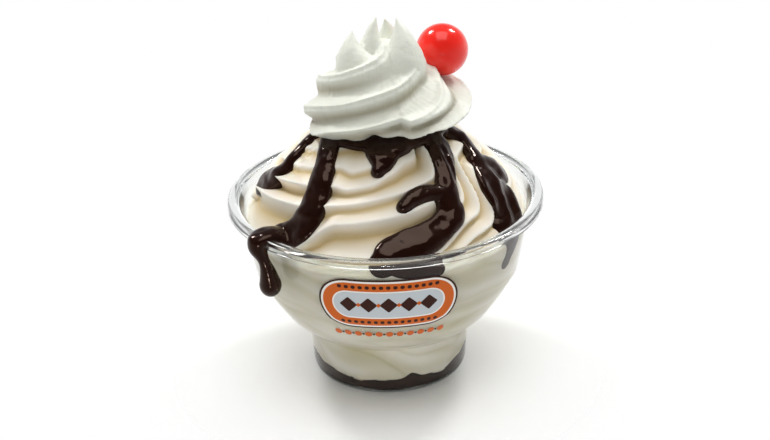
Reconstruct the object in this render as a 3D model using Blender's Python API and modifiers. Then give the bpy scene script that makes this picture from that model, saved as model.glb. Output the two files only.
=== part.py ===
# Hot fudge sundae in a clear moulded cup with a narrow foot: a layer of fudge in
# the foot, a ridged soft-serve mound, fudge poured over it, a piped swirl of
# whipped cream and a cherry.
# Metres, +Z up. The origin is the centre of the cup's foot, on the surface that
# the cup stands on. The side that is seen first faces -Y, with +X on its right.

import math

import bmesh
import bpy
import numpy as np
from mathutils import Vector

MM = 0.001

# Clearance between neighbours
GAP = 0.3 * MM
# A solid grown by this much along its normals clears GAP on its edges as well
GROWTH = 0.42 * MM

# Cup
CUP_HEIGHT = 63.2 * MM
CUP_WALL = 0.9 * MM
CUP_FLOOR = 0.8 * MM
CUP_STEPS = 40
FOOT_RADIUS = 26.5 * MM
FOOT_RING_WIDTH = 2.0 * MM
FOOT_RECESS = 0.5 * MM
NECK_HEIGHT = 18.0 * MM
NECK_RADIUS = 27.6 * MM
SHOULDER_HEIGHT = 24.0 * MM
SHOULDER_RADIUS = 36.4 * MM
BOWL_HEIGHT = 38.0 * MM
BOWL_RADIUS = 44.6 * MM
THROAT_HEIGHT = 60.0 * MM
THROAT_RADIUS = 48.0 * MM
RIM_RADIUS = 52.5 * MM
RIM_DEPTH = 2.6 * MM

# Fudge in the foot: its mean level at the wall, and its swells and dips as
# turn in degrees, height in mm and half-width in degrees
FOOT_FUDGE_LEVEL = 5.2 * MM
FOOT_FUDGE_SWELLS = [(-165, 1.6, 16), (-114, -0.9, 9), (-74, 1.8, 5), (-50, -0.9, 9), (-16, 2.3, 18),
                     (40, -0.8, 20), (95, 1.2, 16)]

# Soft-serve mound: height and radius of its outer form in mm, from the wall up
MOUND_HEIGHTS = [50, 55, 61, 68, 72, 76, 80, 85, 87, 88.5]
MOUND_RADII = [47.2, 46.6, 45.4, 41.0, 37.5, 33.0, 28.5, 22.5, 17.0, 0]
MOUND_SMOOTHING = 1.2
# The mound lies against the wall below this height in mm
MOUND_WALL_TOP = 52
# Height step in mm for the slope of a form
SLOPE_STEP = 0.5
MOUND_STEPS = 200
MOUND_ROW = 0.8 * MM
MOUND_TRIANGLES = 3300

# The mound leaves the wall lower down at the back, which frees a pocket there
POCKET_TURN = 90
POCKET_HALF_TURN = 58
POCKET_DEPTH = 5.3 * MM
POCKET_BOTTOM = 50
POCKET_TOP = 78
POCKET_SIDE_FADE = 35
POCKET_BOTTOM_FADE = 7
POCKET_TOP_FADE = 12

# The mound's ridges: they climb round the cup as a thread of several starts
RIDGE_PITCH = 4.6
RIDGE_STARTS = 7
RIDGE_FIRST_HEIGHT = 70.3
RIDGE_FIRST_TURN = -100
GENTLE_CLIMB = 0.1
STEEP_CLIMB = 12.5
STEEP_TURN = -35
STEEP_HEIGHT = 71
STEEP_DRIFT = 1.25
STEEP_WIDTH = 34
RIDGE_DEPTH = 0.44
RIDGE_OVERHANG = 0.6
RIDGE_HOLD = 0.0
RIDGE_VALLEY = 0.38
RIDGE_WIDEST = 6.5
RIDGE_FIRST = -14
RIDGE_LAST = 15
# They fade out below this height and close to the axis, in mm
RIDGE_BOTTOM = 55
RIDGE_BOTTOM_FADE = 5
RIDGE_CENTRE = 6
RIDGE_CENTRE_FADE = 8

# Zones of turn in degrees: where each starts, how long it takes to rise, where it
# ends and how long it takes to fall
RIDGE_ZONES = {
    "front": (-150, 25, -50, 20),
    "left": (-200, 25, -112, 22),
    "right": (-75, 15, 15, 25),
    "dip": (-122, 12, -86, 12),
    "swell": (-88, 14, -44, 14),
    "paddles": (-186, 14, -134, 12),
    "shaped": (-178, 18, -30, 20),
}
# Ridges that stray from the even ladder: first and last, zone, and shift in mm
RIDGE_SHIFTS = [(0, 0, "left", -8.5), (-1, -1, "front", -5.4), (-1, -1, "left", -5.0),
                (RIDGE_FIRST, -2, "front", -3.6), (RIDGE_FIRST, -2, "left", -4.0), (-4, -1, "right", 1.2),
                (2, 2, "dip", -1.3), (3, 3, "dip", -1.8), (2, RIDGE_LAST, "swell", 1.4)]
# Ridges with a deeper or shallower valley under them, within the zone named shaped
RIDGE_SHARES = {0: 1.3, 1: 0.75, 2: 1.3, 3: 0.4, 4: 0.2, 5: 0.2, 6: 0.2}
# Ridges on the left stand out like paddles, by so many mm between two heights
PADDLE_REACH = 1.7
PADDLE_BOTTOM = 63
PADDLE_TOP = 79
PADDLE_FADE = 4

# Fudge runs on the mound: turn in degrees, height in mm and half-width in mm
FUDGE_RUNS = {
    "left": [(-150, 86.5, 3.8), (-138, 84, 3.6), (-131, 79, 4.2), (-128, 73, 4.8), (-128, 68, 5.2),
             (-132, 64, 5.2), (-139, 61.5, 4.8)],
    "middle": [(-92, 87.2, 6.0), (-91, 85, 5.4), (-92, 82.8, 3.8), (-94, 81.2, 2.4)],
    "middle_fold": [(-93, 86, 3.0), (-80, 85.6, 3.2), (-66, 86.4, 3.2), (-48, 87, 3.2)],
    "right_of_middle": [(-38, 86, 4.6), (-46, 81.4, 4.4), (-53, 77, 3.8), (-57, 73, 4.2), (-58, 70, 4.6),
                        (-64, 67.6, 4.6), (-72, 65.4, 5.4), (-80, 63.6, 6.2), (-88, 61.6, 6.0),
                        (-92, 59, 4.4)],
    "arm": [(-58, 74.5, 3.4), (-66, 75.4, 3.2), (-74, 75.0, 3.2), (-81, 73.2, 2.6)],
    "right": [(-10, 86.5, 4.0), (-8, 82.5, 3.8), (-15, 78.7, 3.2), (-21, 75.6, 4.6), (-25, 71.7, 6.6),
              (-25, 67, 8.4), (-25, 62.5, 7.6), (-30, 58.5, 4.6)],
    "right_lobe": [(-21, 77.4, 3.2), (-13, 74.6, 4.4), (-9, 71, 4.8)],
    "far_left": [(-174, 85.5, 3.8), (-168, 81.8, 2.8), (-165, 78, 2.8), (-164, 74, 4.0), (-172, 69.5, 5.2)],
    "back": [(70, 86, 3.8), (66, 80, 3.6), (72, 74, 4.4), (68, 69, 5.2)],
    "back_left": [(130, 86, 3.8), (138, 80, 3.4), (134, 75, 4.8)],
}
FUDGE_THICKNESS = 2.2 * MM
FUDGE_DRAPE = 0.85
FUDGE_DRAPE_REACH = (-2.0, -1.0, 0.0, 1.0, 2.0)
POOL_RADIUS = 21.5 * MM
POOL_HEIGHT = 86.2 * MM
POOL_RISE = 4.4 * MM

# The run that crosses the rim and hangs outside: turn in degrees, distance from
# the axis, height and half-width in mm
RIM_RUN = [(-136, 44.0, 61.3, 4.6), (-139, 48.0, 62.9, 4.6), (-139.5, 51.0, 62.8, 4.2),
           (-139, 52.8, 60.4, 3.2), (-137, 52.4, 56.5, 1.9), (-136, 51.8, 52.5, 2.6),
           (-135.5, 51.5, 48.0, 3.6)]
# The run is pressed flat where it lies on the rim and stays round lower down
RIM_RUN_ROUND = 57
RIM_RUN_FLAT = 61
DROP_STRETCH = 1.15
RUN_SIDES = 3
FUDGE_VOXEL = 0.7 * MM
FUDGE_TRIANGLES = 1500

# Whipped cream: centre, and height and radius of its outer form in mm
CREAM_CENTRE = Vector((-0.8 * MM, -1.0 * MM, 0))
CREAM_HEIGHTS = [82, 84.5, 86.5, 89.5, 92.5, 96, 100, 103, 106, 109, 112, 114, 115.5]
CREAM_RADII = [0, 15, 20.5, 24.4, 24.8, 24.0, 22.0, 19.4, 17.2, 14.8, 11.0, 7.0, 0]
CREAM_SMOOTHING = 0.9
CREAM_STEPS = 160
CREAM_ROW = 0.8 * MM
CREAM_TRIANGLES = 2300
CREAM_VOXEL = 0.6 * MM
FLUTE_PITCH = 8.6
FLUTE_STARTS = 4
FLUTE_FIRST_HEIGHT = 104.2
FLUTE_FIRST_TURN = -90
FLUTE_DEPTH = 0.36
FLUTE_OVERHANG = 0.7
FLUTE_HOLD = 0.2
FLUTE_VALLEY = 0.62
FLUTE_BOTTOM = 86
FLUTE_BOTTOM_FADE = 4
FLUTE_CENTRE = 1
FLUTE_CENTRE_FADE = 6
CREAM_STEEPEST = 3.0
CREAM_LIFT = 3.2
CREAM_LIFT_TURN = -50
CREAM_LIFT_BOTTOM = 80
CREAM_LIFT_BOTTOM_FADE = 4
CREAM_LIFT_TOP = 102
CREAM_LIFT_TOP_FADE = 14

# Petals at the cream's crown: root and tip in mm, and root radius
CREAM_PEAKS = [((-6.4, -4.5, 105.0), (-8.8, -2.0, 118.4), 7.4),
               ((-1.5, -1.0, 106.0), (-1.2, 2.0, 121.6), 5.6),
               ((5.8, -4.5, 104.5), (5.0, -1.0, 121.8), 8.4),
               ((2.5, 6.5, 105.0), (1.5, 7.5, 119.0), 6.8)]
PETAL_TAPER = 0.85
PETAL_TIP = 0.35

# The cream's lowest turn stands out as a ruffle on the right, with a blunt start
RUFFLE_REACH = 4.8 * MM
RUFFLE_START = -75
RUFFLE_START_WIDTH = 5
RUFFLE_END = 95
RUFFLE_END_WIDTH = 60
RUFFLE_BOTTOM = 84
RUFFLE_TOP = 103
RUFFLE_FADE = 6

# Cherry
CHERRY_CENTRE = Vector((19.8 * MM, 9.0 * MM, 108.0 * MM))
CHERRY_RADIUS = 8.5 * MM
CHERRY_SEGMENTS = 24
CHERRY_RINGS = 14


def clear_scene():
    for scene_object in list(bpy.data.objects):
        bpy.data.objects.remove(scene_object, do_unlink=True)


def new_collection(name):
    collection = bpy.data.collections.new(name)
    bpy.context.scene.collection.children.link(collection)
    return collection


def material(name, colour, roughness, alpha=1.0):
    result = bpy.data.materials.new(name)
    result.use_nodes = True
    shader = result.node_tree.nodes["Principled BSDF"]
    shader.inputs["Base Color"].default_value = (*colour, 1.0)
    shader.inputs["Roughness"].default_value = roughness
    shader.inputs["Metallic"].default_value = 0.0
    shader.inputs["Alpha"].default_value = alpha
    return result


def add_object(name, mesh, collection):
    result = bpy.data.objects.new(name, mesh)
    collection.objects.link(result)
    return result


def smoothstep(value):
    value = np.clip(value, 0.0, 1.0)
    return value * value * (3.0 - 2.0 * value)


def smooth_table(heights, values, at, spread):
    """Reads a table of values by height, with its corners rounded over +-spread."""
    samples = [np.interp(at + shift, heights, values) for shift in np.linspace(-spread, spread, 7)]
    return np.mean(samples, axis=0)


# Geometry that the pieces share

def bake(scene_object, name, collection):
    """Turns an object with its modifiers into a plain mesh object."""
    bpy.context.view_layer.update()
    graph = bpy.context.evaluated_depsgraph_get()
    mesh = bpy.data.meshes.new_from_object(scene_object.evaluated_get(graph))
    mesh.name = name
    result = add_object(name, mesh, collection)
    result.matrix_world = scene_object.matrix_world.copy()
    bpy.data.objects.remove(scene_object, do_unlink=True)
    return result


def turned(name, profile, steps, collection):
    """Turns a profile of (radius, height) points round Z: it runs down its outer side."""
    mesh = bpy.data.meshes.new(name + "_profile")
    edges = [(index, index + 1) for index in range(len(profile) - 1)]
    mesh.from_pydata([(radius, 0.0, height) for radius, height in profile], edges, [])
    outline = add_object(name + "_outline", mesh, collection)
    screw = outline.modifiers.new("Turn", "SCREW")
    screw.steps = steps
    screw.render_steps = steps
    screw.use_merge_vertices = True
    screw.merge_threshold = 0.00001
    return bake(outline, name, collection)


def even_points(points, step):
    """Points at even steps along a line of (radius, height) points."""
    corners = np.array(points)
    lengths = np.concatenate([[0.0], np.cumsum(np.hypot(*np.diff(corners, axis=0).T))])
    count = max(2, int(round(lengths[-1] / step)) + 1)
    at = np.linspace(0.0, lengths[-1], count)
    return list(zip(np.interp(at, lengths, corners[:, 0]), np.interp(at, lengths, corners[:, 1])))


def get_points(mesh):
    points = np.empty(len(mesh.vertices) * 3)
    mesh.vertices.foreach_get("co", points)
    return points.reshape(-1, 3)


def set_points(mesh, points):
    mesh.vertices.foreach_set("co", points.ravel())
    mesh.update()


def clean(mesh):
    """Welds doubles, drops what is loose and turns the faces outwards."""
    form = bmesh.new()
    form.from_mesh(mesh)
    bmesh.ops.remove_doubles(form, verts=form.verts, dist=0.00001)
    bmesh.ops.dissolve_degenerate(form, edges=form.edges, dist=0.00001)
    bmesh.ops.triangulate(form, faces=form.faces)
    bmesh.ops.recalc_face_normals(form, faces=form.faces)
    form.to_mesh(mesh)
    form.free()


def keep_largest(mesh):
    """Keeps the body with the largest volume and drops scraps and sealed hollows."""
    form = bmesh.new()
    form.from_mesh(mesh)
    form.faces.ensure_lookup_table()
    unseen = set(form.faces)
    bodies = []
    while unseen:
        body = {unseen.pop()}
        front = list(body)
        while front:
            for edge in front.pop().edges:
                for face in edge.link_faces:
                    if face in unseen:
                        unseen.remove(face)
                        body.add(face)
                        front.append(face)
        volume = 0.0
        for face in body:
            corners = [vertex.co for vertex in face.verts]
            volume += corners[0].dot(corners[1].cross(corners[2])) / 6.0
        bodies.append((volume, body))
    largest = max(bodies, key=lambda entry: entry[0])[1]
    rest = [face for _, body in bodies if body is not largest for face in body]
    bmesh.ops.delete(form, geom=rest, context="FACES")
    loose = [vertex for vertex in form.verts if not vertex.link_faces]
    bmesh.ops.delete(form, geom=loose, context="VERTS")
    form.to_mesh(mesh)
    form.free()


def fused(scene_object, voxel, name, collection):
    """Fuses overlapping closed shapes into one even skin."""
    remesh = scene_object.modifiers.new("Fuse", "REMESH")
    remesh.mode = "VOXEL"
    remesh.voxel_size = voxel
    result = bake(scene_object, name, collection)
    return result


def softened(scene_object, factor, repeats, name, collection):
    smooth = scene_object.modifiers.new("Soften", "SMOOTH")
    smooth.factor = factor
    smooth.iterations = repeats
    return bake(scene_object, name, collection)


def thinned(scene_object, triangles, name, collection):
    """Lowers the number of triangles where the surface is flattest."""
    clean(scene_object.data)
    thin = scene_object.modifiers.new("Thin", "DECIMATE")
    thin.ratio = min(1.0, triangles / len(scene_object.data.polygons))
    result = bake(scene_object, name, collection)
    clean(result.data)
    return result


def grown(scene_object, distance, collection):
    """A copy grown along its normals, as a cutter for its neighbour."""
    mesh = scene_object.data.copy()
    points = get_points(mesh)
    normals = np.array([vertex.normal[:] for vertex in mesh.vertices])
    set_points(mesh, points + normals * distance)
    result = add_object(scene_object.name + "_grown", mesh, collection)
    result.hide_render = True
    result.display_type = "WIRE"
    return result


def cut(scene_object, cutters, name, collection):
    """Takes the cutters away from an object and keeps its largest body."""
    for cutter in cutters:
        difference = scene_object.modifiers.new("Cut", "BOOLEAN")
        difference.operation = "DIFFERENCE"
        difference.object = cutter
        difference.solver = "MANIFOLD"
    result = bake(scene_object, name, collection)
    clean(result.data)
    keep_largest(result.data)
    return result


def joined(scene_objects, name, collection):
    """One mesh that holds several shapes, which still overlap."""
    form = bmesh.new()
    for scene_object in scene_objects:
        scene_object.data.transform(scene_object.matrix_world)
        form.from_mesh(scene_object.data)
        bpy.data.objects.remove(scene_object, do_unlink=True)
    mesh = bpy.data.meshes.new(name)
    form.to_mesh(mesh)
    form.free()
    return add_object(name, mesh, collection)


def curve_through(points, radii, name, collection):
    """A closed tube along points in metres, with a half-width at each point."""
    curve = bpy.data.curves.new(name, "CURVE")
    curve.dimensions = "3D"
    curve.bevel_depth = 1.0
    curve.bevel_resolution = RUN_SIDES
    curve.use_fill_caps = True
    spline = curve.splines.new("POLY")
    spline.points.add(len(points) - 1)
    for place, point, radius in zip(spline.points, points, radii):
        place.co = (*point, 1.0)
        place.radius = radius
    tube = bpy.data.objects.new(name, curve)
    collection.objects.link(tube)
    result = bake(tube, name, collection)
    clean(result.data)
    return result


def ball(centre, radius, name, collection, stretch=1.0):
    form = bmesh.new()
    bmesh.ops.create_uvsphere(form, u_segments=16, v_segments=10, radius=radius)
    for vertex in form.verts:
        vertex.co.z *= stretch
        vertex.co += centre
    mesh = bpy.data.meshes.new(name)
    form.to_mesh(mesh)
    form.free()
    return add_object(name, mesh, collection)


def spread(knots, per_span):
    """Even points on a smooth line through the knots, whatever their number of values."""
    knots = np.array(knots, dtype=float)
    padded = np.vstack([2 * knots[0] - knots[1], knots, 2 * knots[-1] - knots[-2]])
    result = []
    for before, start, end, after in zip(padded, padded[1:], padded[2:], padded[3:]):
        for step in range(per_span):
            t = step / per_span
            result.append(0.5 * (2 * start + (end - before) * t
                                 + (2 * before - 5 * start + 4 * end - after) * t ** 2
                                 + (3 * start - before - 3 * end + after) * t ** 3))
    result.append(knots[-1])
    return np.array(result)


def wave(phase, hold, valley):
    """Depth below a crest, from 0 to 1: phase 0 is the crest, and it grows downwards.

    The crest's face holds its depth to one phase and ends in the valley at another.
    """
    fall = np.sin(np.clip((phase - hold) / (valley - hold), 0.0, 1.0) * math.pi / 2)
    rise = np.clip((1.0 - phase) / (1.0 - valley), 0.0, 1.0) ** 1.15
    return np.where(phase < valley, fall, rise)


def overhang(phase, valley):
    """How far the crest leans down over the valley under it, from 0 to 1."""
    under = np.clip(1.0 - phase / (valley * 0.8), 0.0, 1.0)
    above = smoothstep((phase - 0.55) / 0.45)
    return np.maximum(under, above)


# Cup

def cup_outer_profile():
    """Outer wall from the foot to the throat, as (height, radius)."""
    return [(0.0, FOOT_RADIUS), (1.2 * MM, FOOT_RADIUS + 0.3 * MM),
            (10.0 * MM, NECK_RADIUS - 0.3 * MM), (NECK_HEIGHT, NECK_RADIUS),
            (20.5 * MM, 33.0 * MM), (SHOULDER_HEIGHT, SHOULDER_RADIUS), (30.0 * MM, 40.4 * MM),
            (BOWL_HEIGHT, BOWL_RADIUS), (47.0 * MM, 46.0 * MM), (56.0 * MM, 47.6 * MM),
            (THROAT_HEIGHT, THROAT_RADIUS)]


def cup_inner_profile(offset=0.0):
    """Inner wall from the floor to the throat, as (height, radius), moved in by offset."""
    wall = CUP_WALL + offset
    outer = cup_outer_profile()[1:]
    floor = FOOT_RECESS + CUP_FLOOR + offset
    result = [(floor, outer[0][1] - wall)]
    for before, here, after in zip(outer, outer[1:], outer[2:]):
        run = Vector((after[0] - before[0], after[1] - before[1])).normalized()
        result.append((here[0] + run.y * wall, here[1] - run.x * wall))
    result.append((THROAT_HEIGHT, THROAT_RADIUS - wall))
    return result


def cup_inner_radius(height, offset=0.0):
    heights, radii = zip(*cup_inner_profile(offset))
    return np.interp(height, heights, radii)


def make_cup(collection):
    inner = cup_inner_profile()
    profile = [(0.0, inner[0][0])]
    profile += [(radius, height) for height, radius in inner]
    lip = THROAT_RADIUS + 0.5 * MM
    rim_low = CUP_HEIGHT - RIM_DEPTH
    profile += [(lip, CUP_HEIGHT - 1.0 * MM), (lip + 1.2 * MM, CUP_HEIGHT - 0.2 * MM),
                (RIM_RADIUS - 1.6 * MM, CUP_HEIGHT), (RIM_RADIUS - 0.4 * MM, CUP_HEIGHT - 0.5 * MM),
                (RIM_RADIUS, CUP_HEIGHT - 1.4 * MM), (RIM_RADIUS, rim_low),
                (RIM_RADIUS - CUP_WALL, rim_low), (RIM_RADIUS - CUP_WALL, CUP_HEIGHT - 1.5 * MM),
                (THROAT_RADIUS + 0.9 * MM, CUP_HEIGHT - 1.4 * MM)]
    profile += [(radius, height) for height, radius in reversed(cup_outer_profile())]
    ring = FOOT_RADIUS - FOOT_RING_WIDTH
    profile += [(ring, 0.0), (ring - 0.6 * MM, FOOT_RECESS), (0.0, FOOT_RECESS)]
    cup = turned("cup", profile, CUP_STEPS, collection)
    clean(cup.data)
    return cup


# Fudge in the foot

def foot_fudge_level(turn):
    """Height of the foot fudge's top at a turn in degrees."""
    level = np.full(np.shape(turn), FOOT_FUDGE_LEVEL)
    for middle, rise, width in FOOT_FUDGE_SWELLS:
        away = (turn - middle + 180.0) % 360.0 - 180.0
        level = level + rise * MM * np.exp(-(away / width) ** 2)
    return level


def sway_to_fudge(mesh, base_height, reach, lift):
    """Moves the rows near base_height to follow the foot fudge's top."""
    points = get_points(mesh)
    turn = np.degrees(np.arctan2(points[:, 1], points[:, 0]))
    radius = np.hypot(points[:, 0], points[:, 1])
    share = smoothstep(radius / FOOT_RADIUS)
    change = (foot_fudge_level(turn) - FOOT_FUDGE_LEVEL) * share + lift
    weight = smoothstep(1.0 - np.abs(points[:, 2] - base_height) / reach)
    points[:, 2] += change * weight
    set_points(mesh, points)


def make_foot_fudge(collection):
    floor = FOOT_RECESS + CUP_FLOOR + GAP
    top = FOOT_FUDGE_LEVEL
    wall_top = float(cup_inner_radius(top, GAP))
    profile = even_points([(0.0, top), (wall_top, top)], 5.0 * MM)
    profile += [(float(cup_inner_radius(floor, GAP)), floor), (0.0, floor)]
    fudge = turned("fudge_layer", profile, CUP_STEPS, collection)
    sway_to_fudge(fudge.data, top, 1.0 * MM, 0.0)
    clean(fudge.data)
    return fudge


# Soft-serve mound

def mound_radius(height):
    """Radius in metres of the mound's outer form at a height in mm."""
    return smooth_table(MOUND_HEIGHTS, MOUND_RADII, height, MOUND_SMOOTHING) * MM


def mound_slope(height):
    """Change of the mound's radius with height, at a height in mm."""
    step = SLOPE_STEP
    return (mound_radius(height + step) - mound_radius(height - step)) / MM / (2 * step)


def ridge_climb(turn, height):
    """How far a ridge has climbed at a turn in degrees, in mm."""
    whole = RIDGE_PITCH * RIDGE_STARTS
    steep_at = STEEP_TURN - STEEP_DRIFT * (height - STEEP_HEIGHT)
    steep = STEEP_CLIMB * smoothstep((turn - steep_at) / STEEP_WIDTH + 0.5)
    front = GENTLE_CLIMB * (np.minimum(turn, STEEP_TURN) - RIDGE_FIRST_TURN)
    reached = GENTLE_CLIMB * (STEEP_TURN - RIDGE_FIRST_TURN) + STEEP_CLIMB
    start = GENTLE_CLIMB * (-180 - RIDGE_FIRST_TURN)
    back_rate = (start + whole - reached) / (180 - STEEP_TURN)
    back = back_rate * np.maximum(turn - STEEP_TURN, 0.0)
    return front + steep + back


def zone(name, turn):
    """How far a turn in degrees lies in one of the mound's zones, from 0 to 1."""
    start, rise, end, fall = RIDGE_ZONES[name]
    return smoothstep((turn - start) / rise) * smoothstep((end - turn) / fall)


def ridge_ladder(turn):
    """Heights of the crest lines above the climb, in mm, and each one's share of the depth."""
    rungs = []
    shares = []
    for index in range(RIDGE_FIRST, RIDGE_LAST + 1):
        rung = np.full(np.shape(turn), RIDGE_PITCH * index)
        for first, last, name, shift in RIDGE_SHIFTS:
            if first <= index <= last:
                rung = rung + shift * zone(name, turn)
        rungs.append(rung)
        shares.append(1.0 + (RIDGE_SHARES.get(index, 1.0) - 1.0) * zone("shaped", turn))
    return np.array(rungs), np.array(shares)


def ridge_phase(turn, height):
    """Phase below the next crest up, 0 to 1, and the depth of the valley there in mm."""
    level = height - RIDGE_FIRST_HEIGHT - ridge_climb(turn, height)
    rungs, shares = ridge_ladder(turn)
    above = np.clip(np.sum(rungs < level, axis=0), 1, len(rungs) - 1)
    columns = np.arange(len(turn))
    top = rungs[above, columns]
    bottom = rungs[above - 1, columns]
    gap = np.maximum(top - bottom, 0.5)
    depth = RIDGE_DEPTH * np.minimum(gap, RIDGE_WIDEST) * shares[above, columns]
    return np.clip((top - level) / gap, 0.0, 1.0), depth


def pocket(turn, height):
    """How far the mound stands back from the wall at a turn in degrees and a height in mm."""
    away = np.abs((turn - POCKET_TURN + 180.0) % 360.0 - 180.0)
    along = smoothstep((POCKET_HALF_TURN - away) / POCKET_SIDE_FADE)
    upright = smoothstep((height - POCKET_BOTTOM) / POCKET_BOTTOM_FADE)
    upright = upright * smoothstep((POCKET_TOP - height) / POCKET_TOP_FADE)
    return POCKET_DEPTH * along * upright


def ridge_relief(turn, height, radius):
    """How deep the ridges cut in and how far they lean, in metres, and the share of the depth."""
    phase, depth = ridge_phase(turn, height)
    fade = smoothstep((height - RIDGE_BOTTOM) / RIDGE_BOTTOM_FADE)
    fade = fade * smoothstep((radius / MM - RIDGE_CENTRE) / RIDGE_CENTRE_FADE)
    share = wave(phase, RIDGE_HOLD, RIDGE_VALLEY) * fade
    lean = RIDGE_OVERHANG * overhang(phase, RIDGE_VALLEY) * fade
    paddle = zone("paddles", turn) * smoothstep((height - PADDLE_BOTTOM) / PADDLE_FADE)
    paddle = paddle * smoothstep((PADDLE_TOP - height) / PADDLE_FADE) * (1.0 - share) ** 2
    return (depth * share - PADDLE_REACH * paddle) * MM, lean * MM, share


def carve_mound(mesh):
    """Cuts the ridges into the mound's upper surface, leaning over at their crests."""
    points = get_points(mesh)
    radius = np.hypot(points[:, 0], points[:, 1])
    turn = np.degrees(np.arctan2(points[:, 1], points[:, 0]))
    height = points[:, 2] / MM
    slope = mound_slope(height)
    length = np.sqrt(1.0 + slope ** 2)
    out = 1.0 / length
    up = -slope / length
    deep, lean, _ = ridge_relief(turn, height, radius)
    new_radius = radius - deep * out + lean * up - pocket(turn, height)
    new_height = points[:, 2] - deep * up - lean * out
    limit = cup_inner_radius(new_height, GAP)
    inside = new_height < CUP_HEIGHT + 1.0 * MM
    new_radius = np.where(inside, np.minimum(new_radius, limit), new_radius)
    scale = np.divide(new_radius, radius, out=np.ones_like(radius), where=radius > 1e-7)
    points[:, 0] *= scale
    points[:, 1] *= scale
    points[:, 2] = new_height
    set_points(mesh, points)


def make_mound(collection):
    heights = np.linspace(MOUND_HEIGHTS[-1], MOUND_WALL_TOP, 60)
    outline = []
    for height in heights:
        wall = float(cup_inner_radius(height * MM, GAP))
        outline.append((min(float(mound_radius(height)), wall), height * MM))
    outline[0] = (0.0, outline[0][1])
    bottom = FOOT_FUDGE_LEVEL + GAP
    walls = [(radius, height) for height, radius in reversed(cup_inner_profile(GAP))
             if bottom + 1.5 * MM < height < MOUND_WALL_TOP * MM]
    wall_bottom = float(cup_inner_radius(bottom, GAP))
    profile = even_points(outline + walls + [(wall_bottom, bottom)], MOUND_ROW)
    profile += even_points([(wall_bottom, bottom), (0.0, bottom)], 3.0 * MM)[1:]
    mound = turned("ice_cream_blank", profile, MOUND_STEPS, collection)
    carve_mound(mound.data)
    sway_to_fudge(mound.data, bottom, 4.0 * MM, GAP)
    return thinned(mound, MOUND_TRIANGLES, "ice_cream", collection)


# Poured fudge

def on_mound(turn, height):
    """A point on the mound's form at a turn in degrees and height in mm, and the way out of it."""
    slope = float(mound_slope(height))
    length = math.sqrt(1.0 + slope ** 2)
    radius = float(mound_radius(height) - pocket(turn, height))
    angle = math.radians(turn)
    point = (radius * math.cos(angle), radius * math.sin(angle), height * MM)
    return point, (math.cos(angle) / length, math.sin(angle) / length, -slope / length)


def flatten(mesh, centres, outward, widths):
    """Presses the outer half of a round run down to the fudge's thickness."""
    points = get_points(mesh)
    nearest = np.argmin(np.linalg.norm(points[:, None, :] - centres[None, :, :], axis=2), axis=1)
    out = outward[nearest]
    rise = np.maximum(np.sum((points - centres[nearest]) * out, axis=1), 0.0)
    share = np.minimum(FUDGE_THICKNESS / widths[nearest], 1.0)
    set_points(mesh, points + out * (rise * (share - 1.0))[:, None])


def drape(mesh):
    """Lets a run of fudge sag into the ridges under it."""
    points = get_points(mesh)
    radius = np.hypot(points[:, 0], points[:, 1])
    turn = np.degrees(np.arctan2(points[:, 1], points[:, 0]))
    height = points[:, 2] / MM
    slope = mound_slope(height)
    length = np.sqrt(1.0 + slope ** 2)
    depths = [ridge_relief(turn, height + shift, radius)[0] for shift in FUDGE_DRAPE_REACH]
    sag = FUDGE_DRAPE * np.mean(depths, axis=0)
    scale = np.divide(radius - sag / length, radius, out=np.ones_like(radius), where=radius > 1e-7)
    points[:, 0] *= scale
    points[:, 1] *= scale
    points[:, 2] += sag * slope / length
    set_points(mesh, points)


def fudge_shapes(collection):
    shapes = []
    for name, knots in FUDGE_RUNS.items():
        route = spread(knots, 4)
        centres, outward = (np.array(values) for values in zip(*[on_mound(turn, height)
                                                                 for turn, height, _ in route]))
        widths = route[:, 2] * MM
        run = [curve_through(centres, widths, "run_" + name, collection)]
        for end in (0, -1):
            run.append(ball(Vector(centres[end]), widths[end], "end_" + name, collection))
        for shape in run:
            flatten(shape.data, centres, outward, widths)
            drape(shape.data)
        shapes += run
    turns, radii, heights, widths = spread(RIM_RUN, 4).T
    angles = np.radians(turns)
    centres = np.stack([radii * np.cos(angles), radii * np.sin(angles), heights], axis=1) * MM
    upward = smoothstep((heights - RIM_RUN_ROUND) / (RIM_RUN_FLAT - RIM_RUN_ROUND))
    outward = np.outer(upward, (0.0, 0.0, 1.0))
    widths = widths * MM
    run = [curve_through(centres, widths, "run_rim", collection),
           ball(Vector(centres[-1]), widths[-1], "drop", collection, DROP_STRETCH),
           ball(Vector(centres[0]), widths[0], "rim_start", collection)]
    for shape in run:
        flatten(shape.data, centres, outward, widths)
    shapes += run
    pool = ball(Vector((0, 0, 0)), POOL_RADIUS, "pool", collection, POOL_RISE / POOL_RADIUS)
    pool.location = (0, 0, POOL_HEIGHT)
    bpy.context.view_layer.update()
    shapes.append(pool)
    return shapes


def make_fudge(mound, cup, collection, cutters):
    fudge = joined(fudge_shapes(collection), "fudge_shapes", collection)
    fudge = fused(fudge, FUDGE_VOXEL, "fudge_fused", collection)
    fudge = softened(fudge, 0.6, 6, "fudge_soft", collection)
    fudge = thinned(fudge, FUDGE_TRIANGLES, "fudge_thin", collection)
    takers = [grown(mound, GROWTH, cutters), grown(cup, GROWTH, cutters)]
    return cut(fudge, takers, "fudge_topping", collection)


# Whipped cream

def cream_radius(height):
    return smooth_table(CREAM_HEIGHTS, CREAM_RADII, height, CREAM_SMOOTHING) * MM


def flute_phase(turn, height):
    whole = FLUTE_PITCH * FLUTE_STARTS
    climb = (turn - FLUTE_FIRST_TURN) * whole / 360.0
    level = (height - FLUTE_FIRST_HEIGHT - climb) / FLUTE_PITCH
    return (-level) % 1.0


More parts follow.
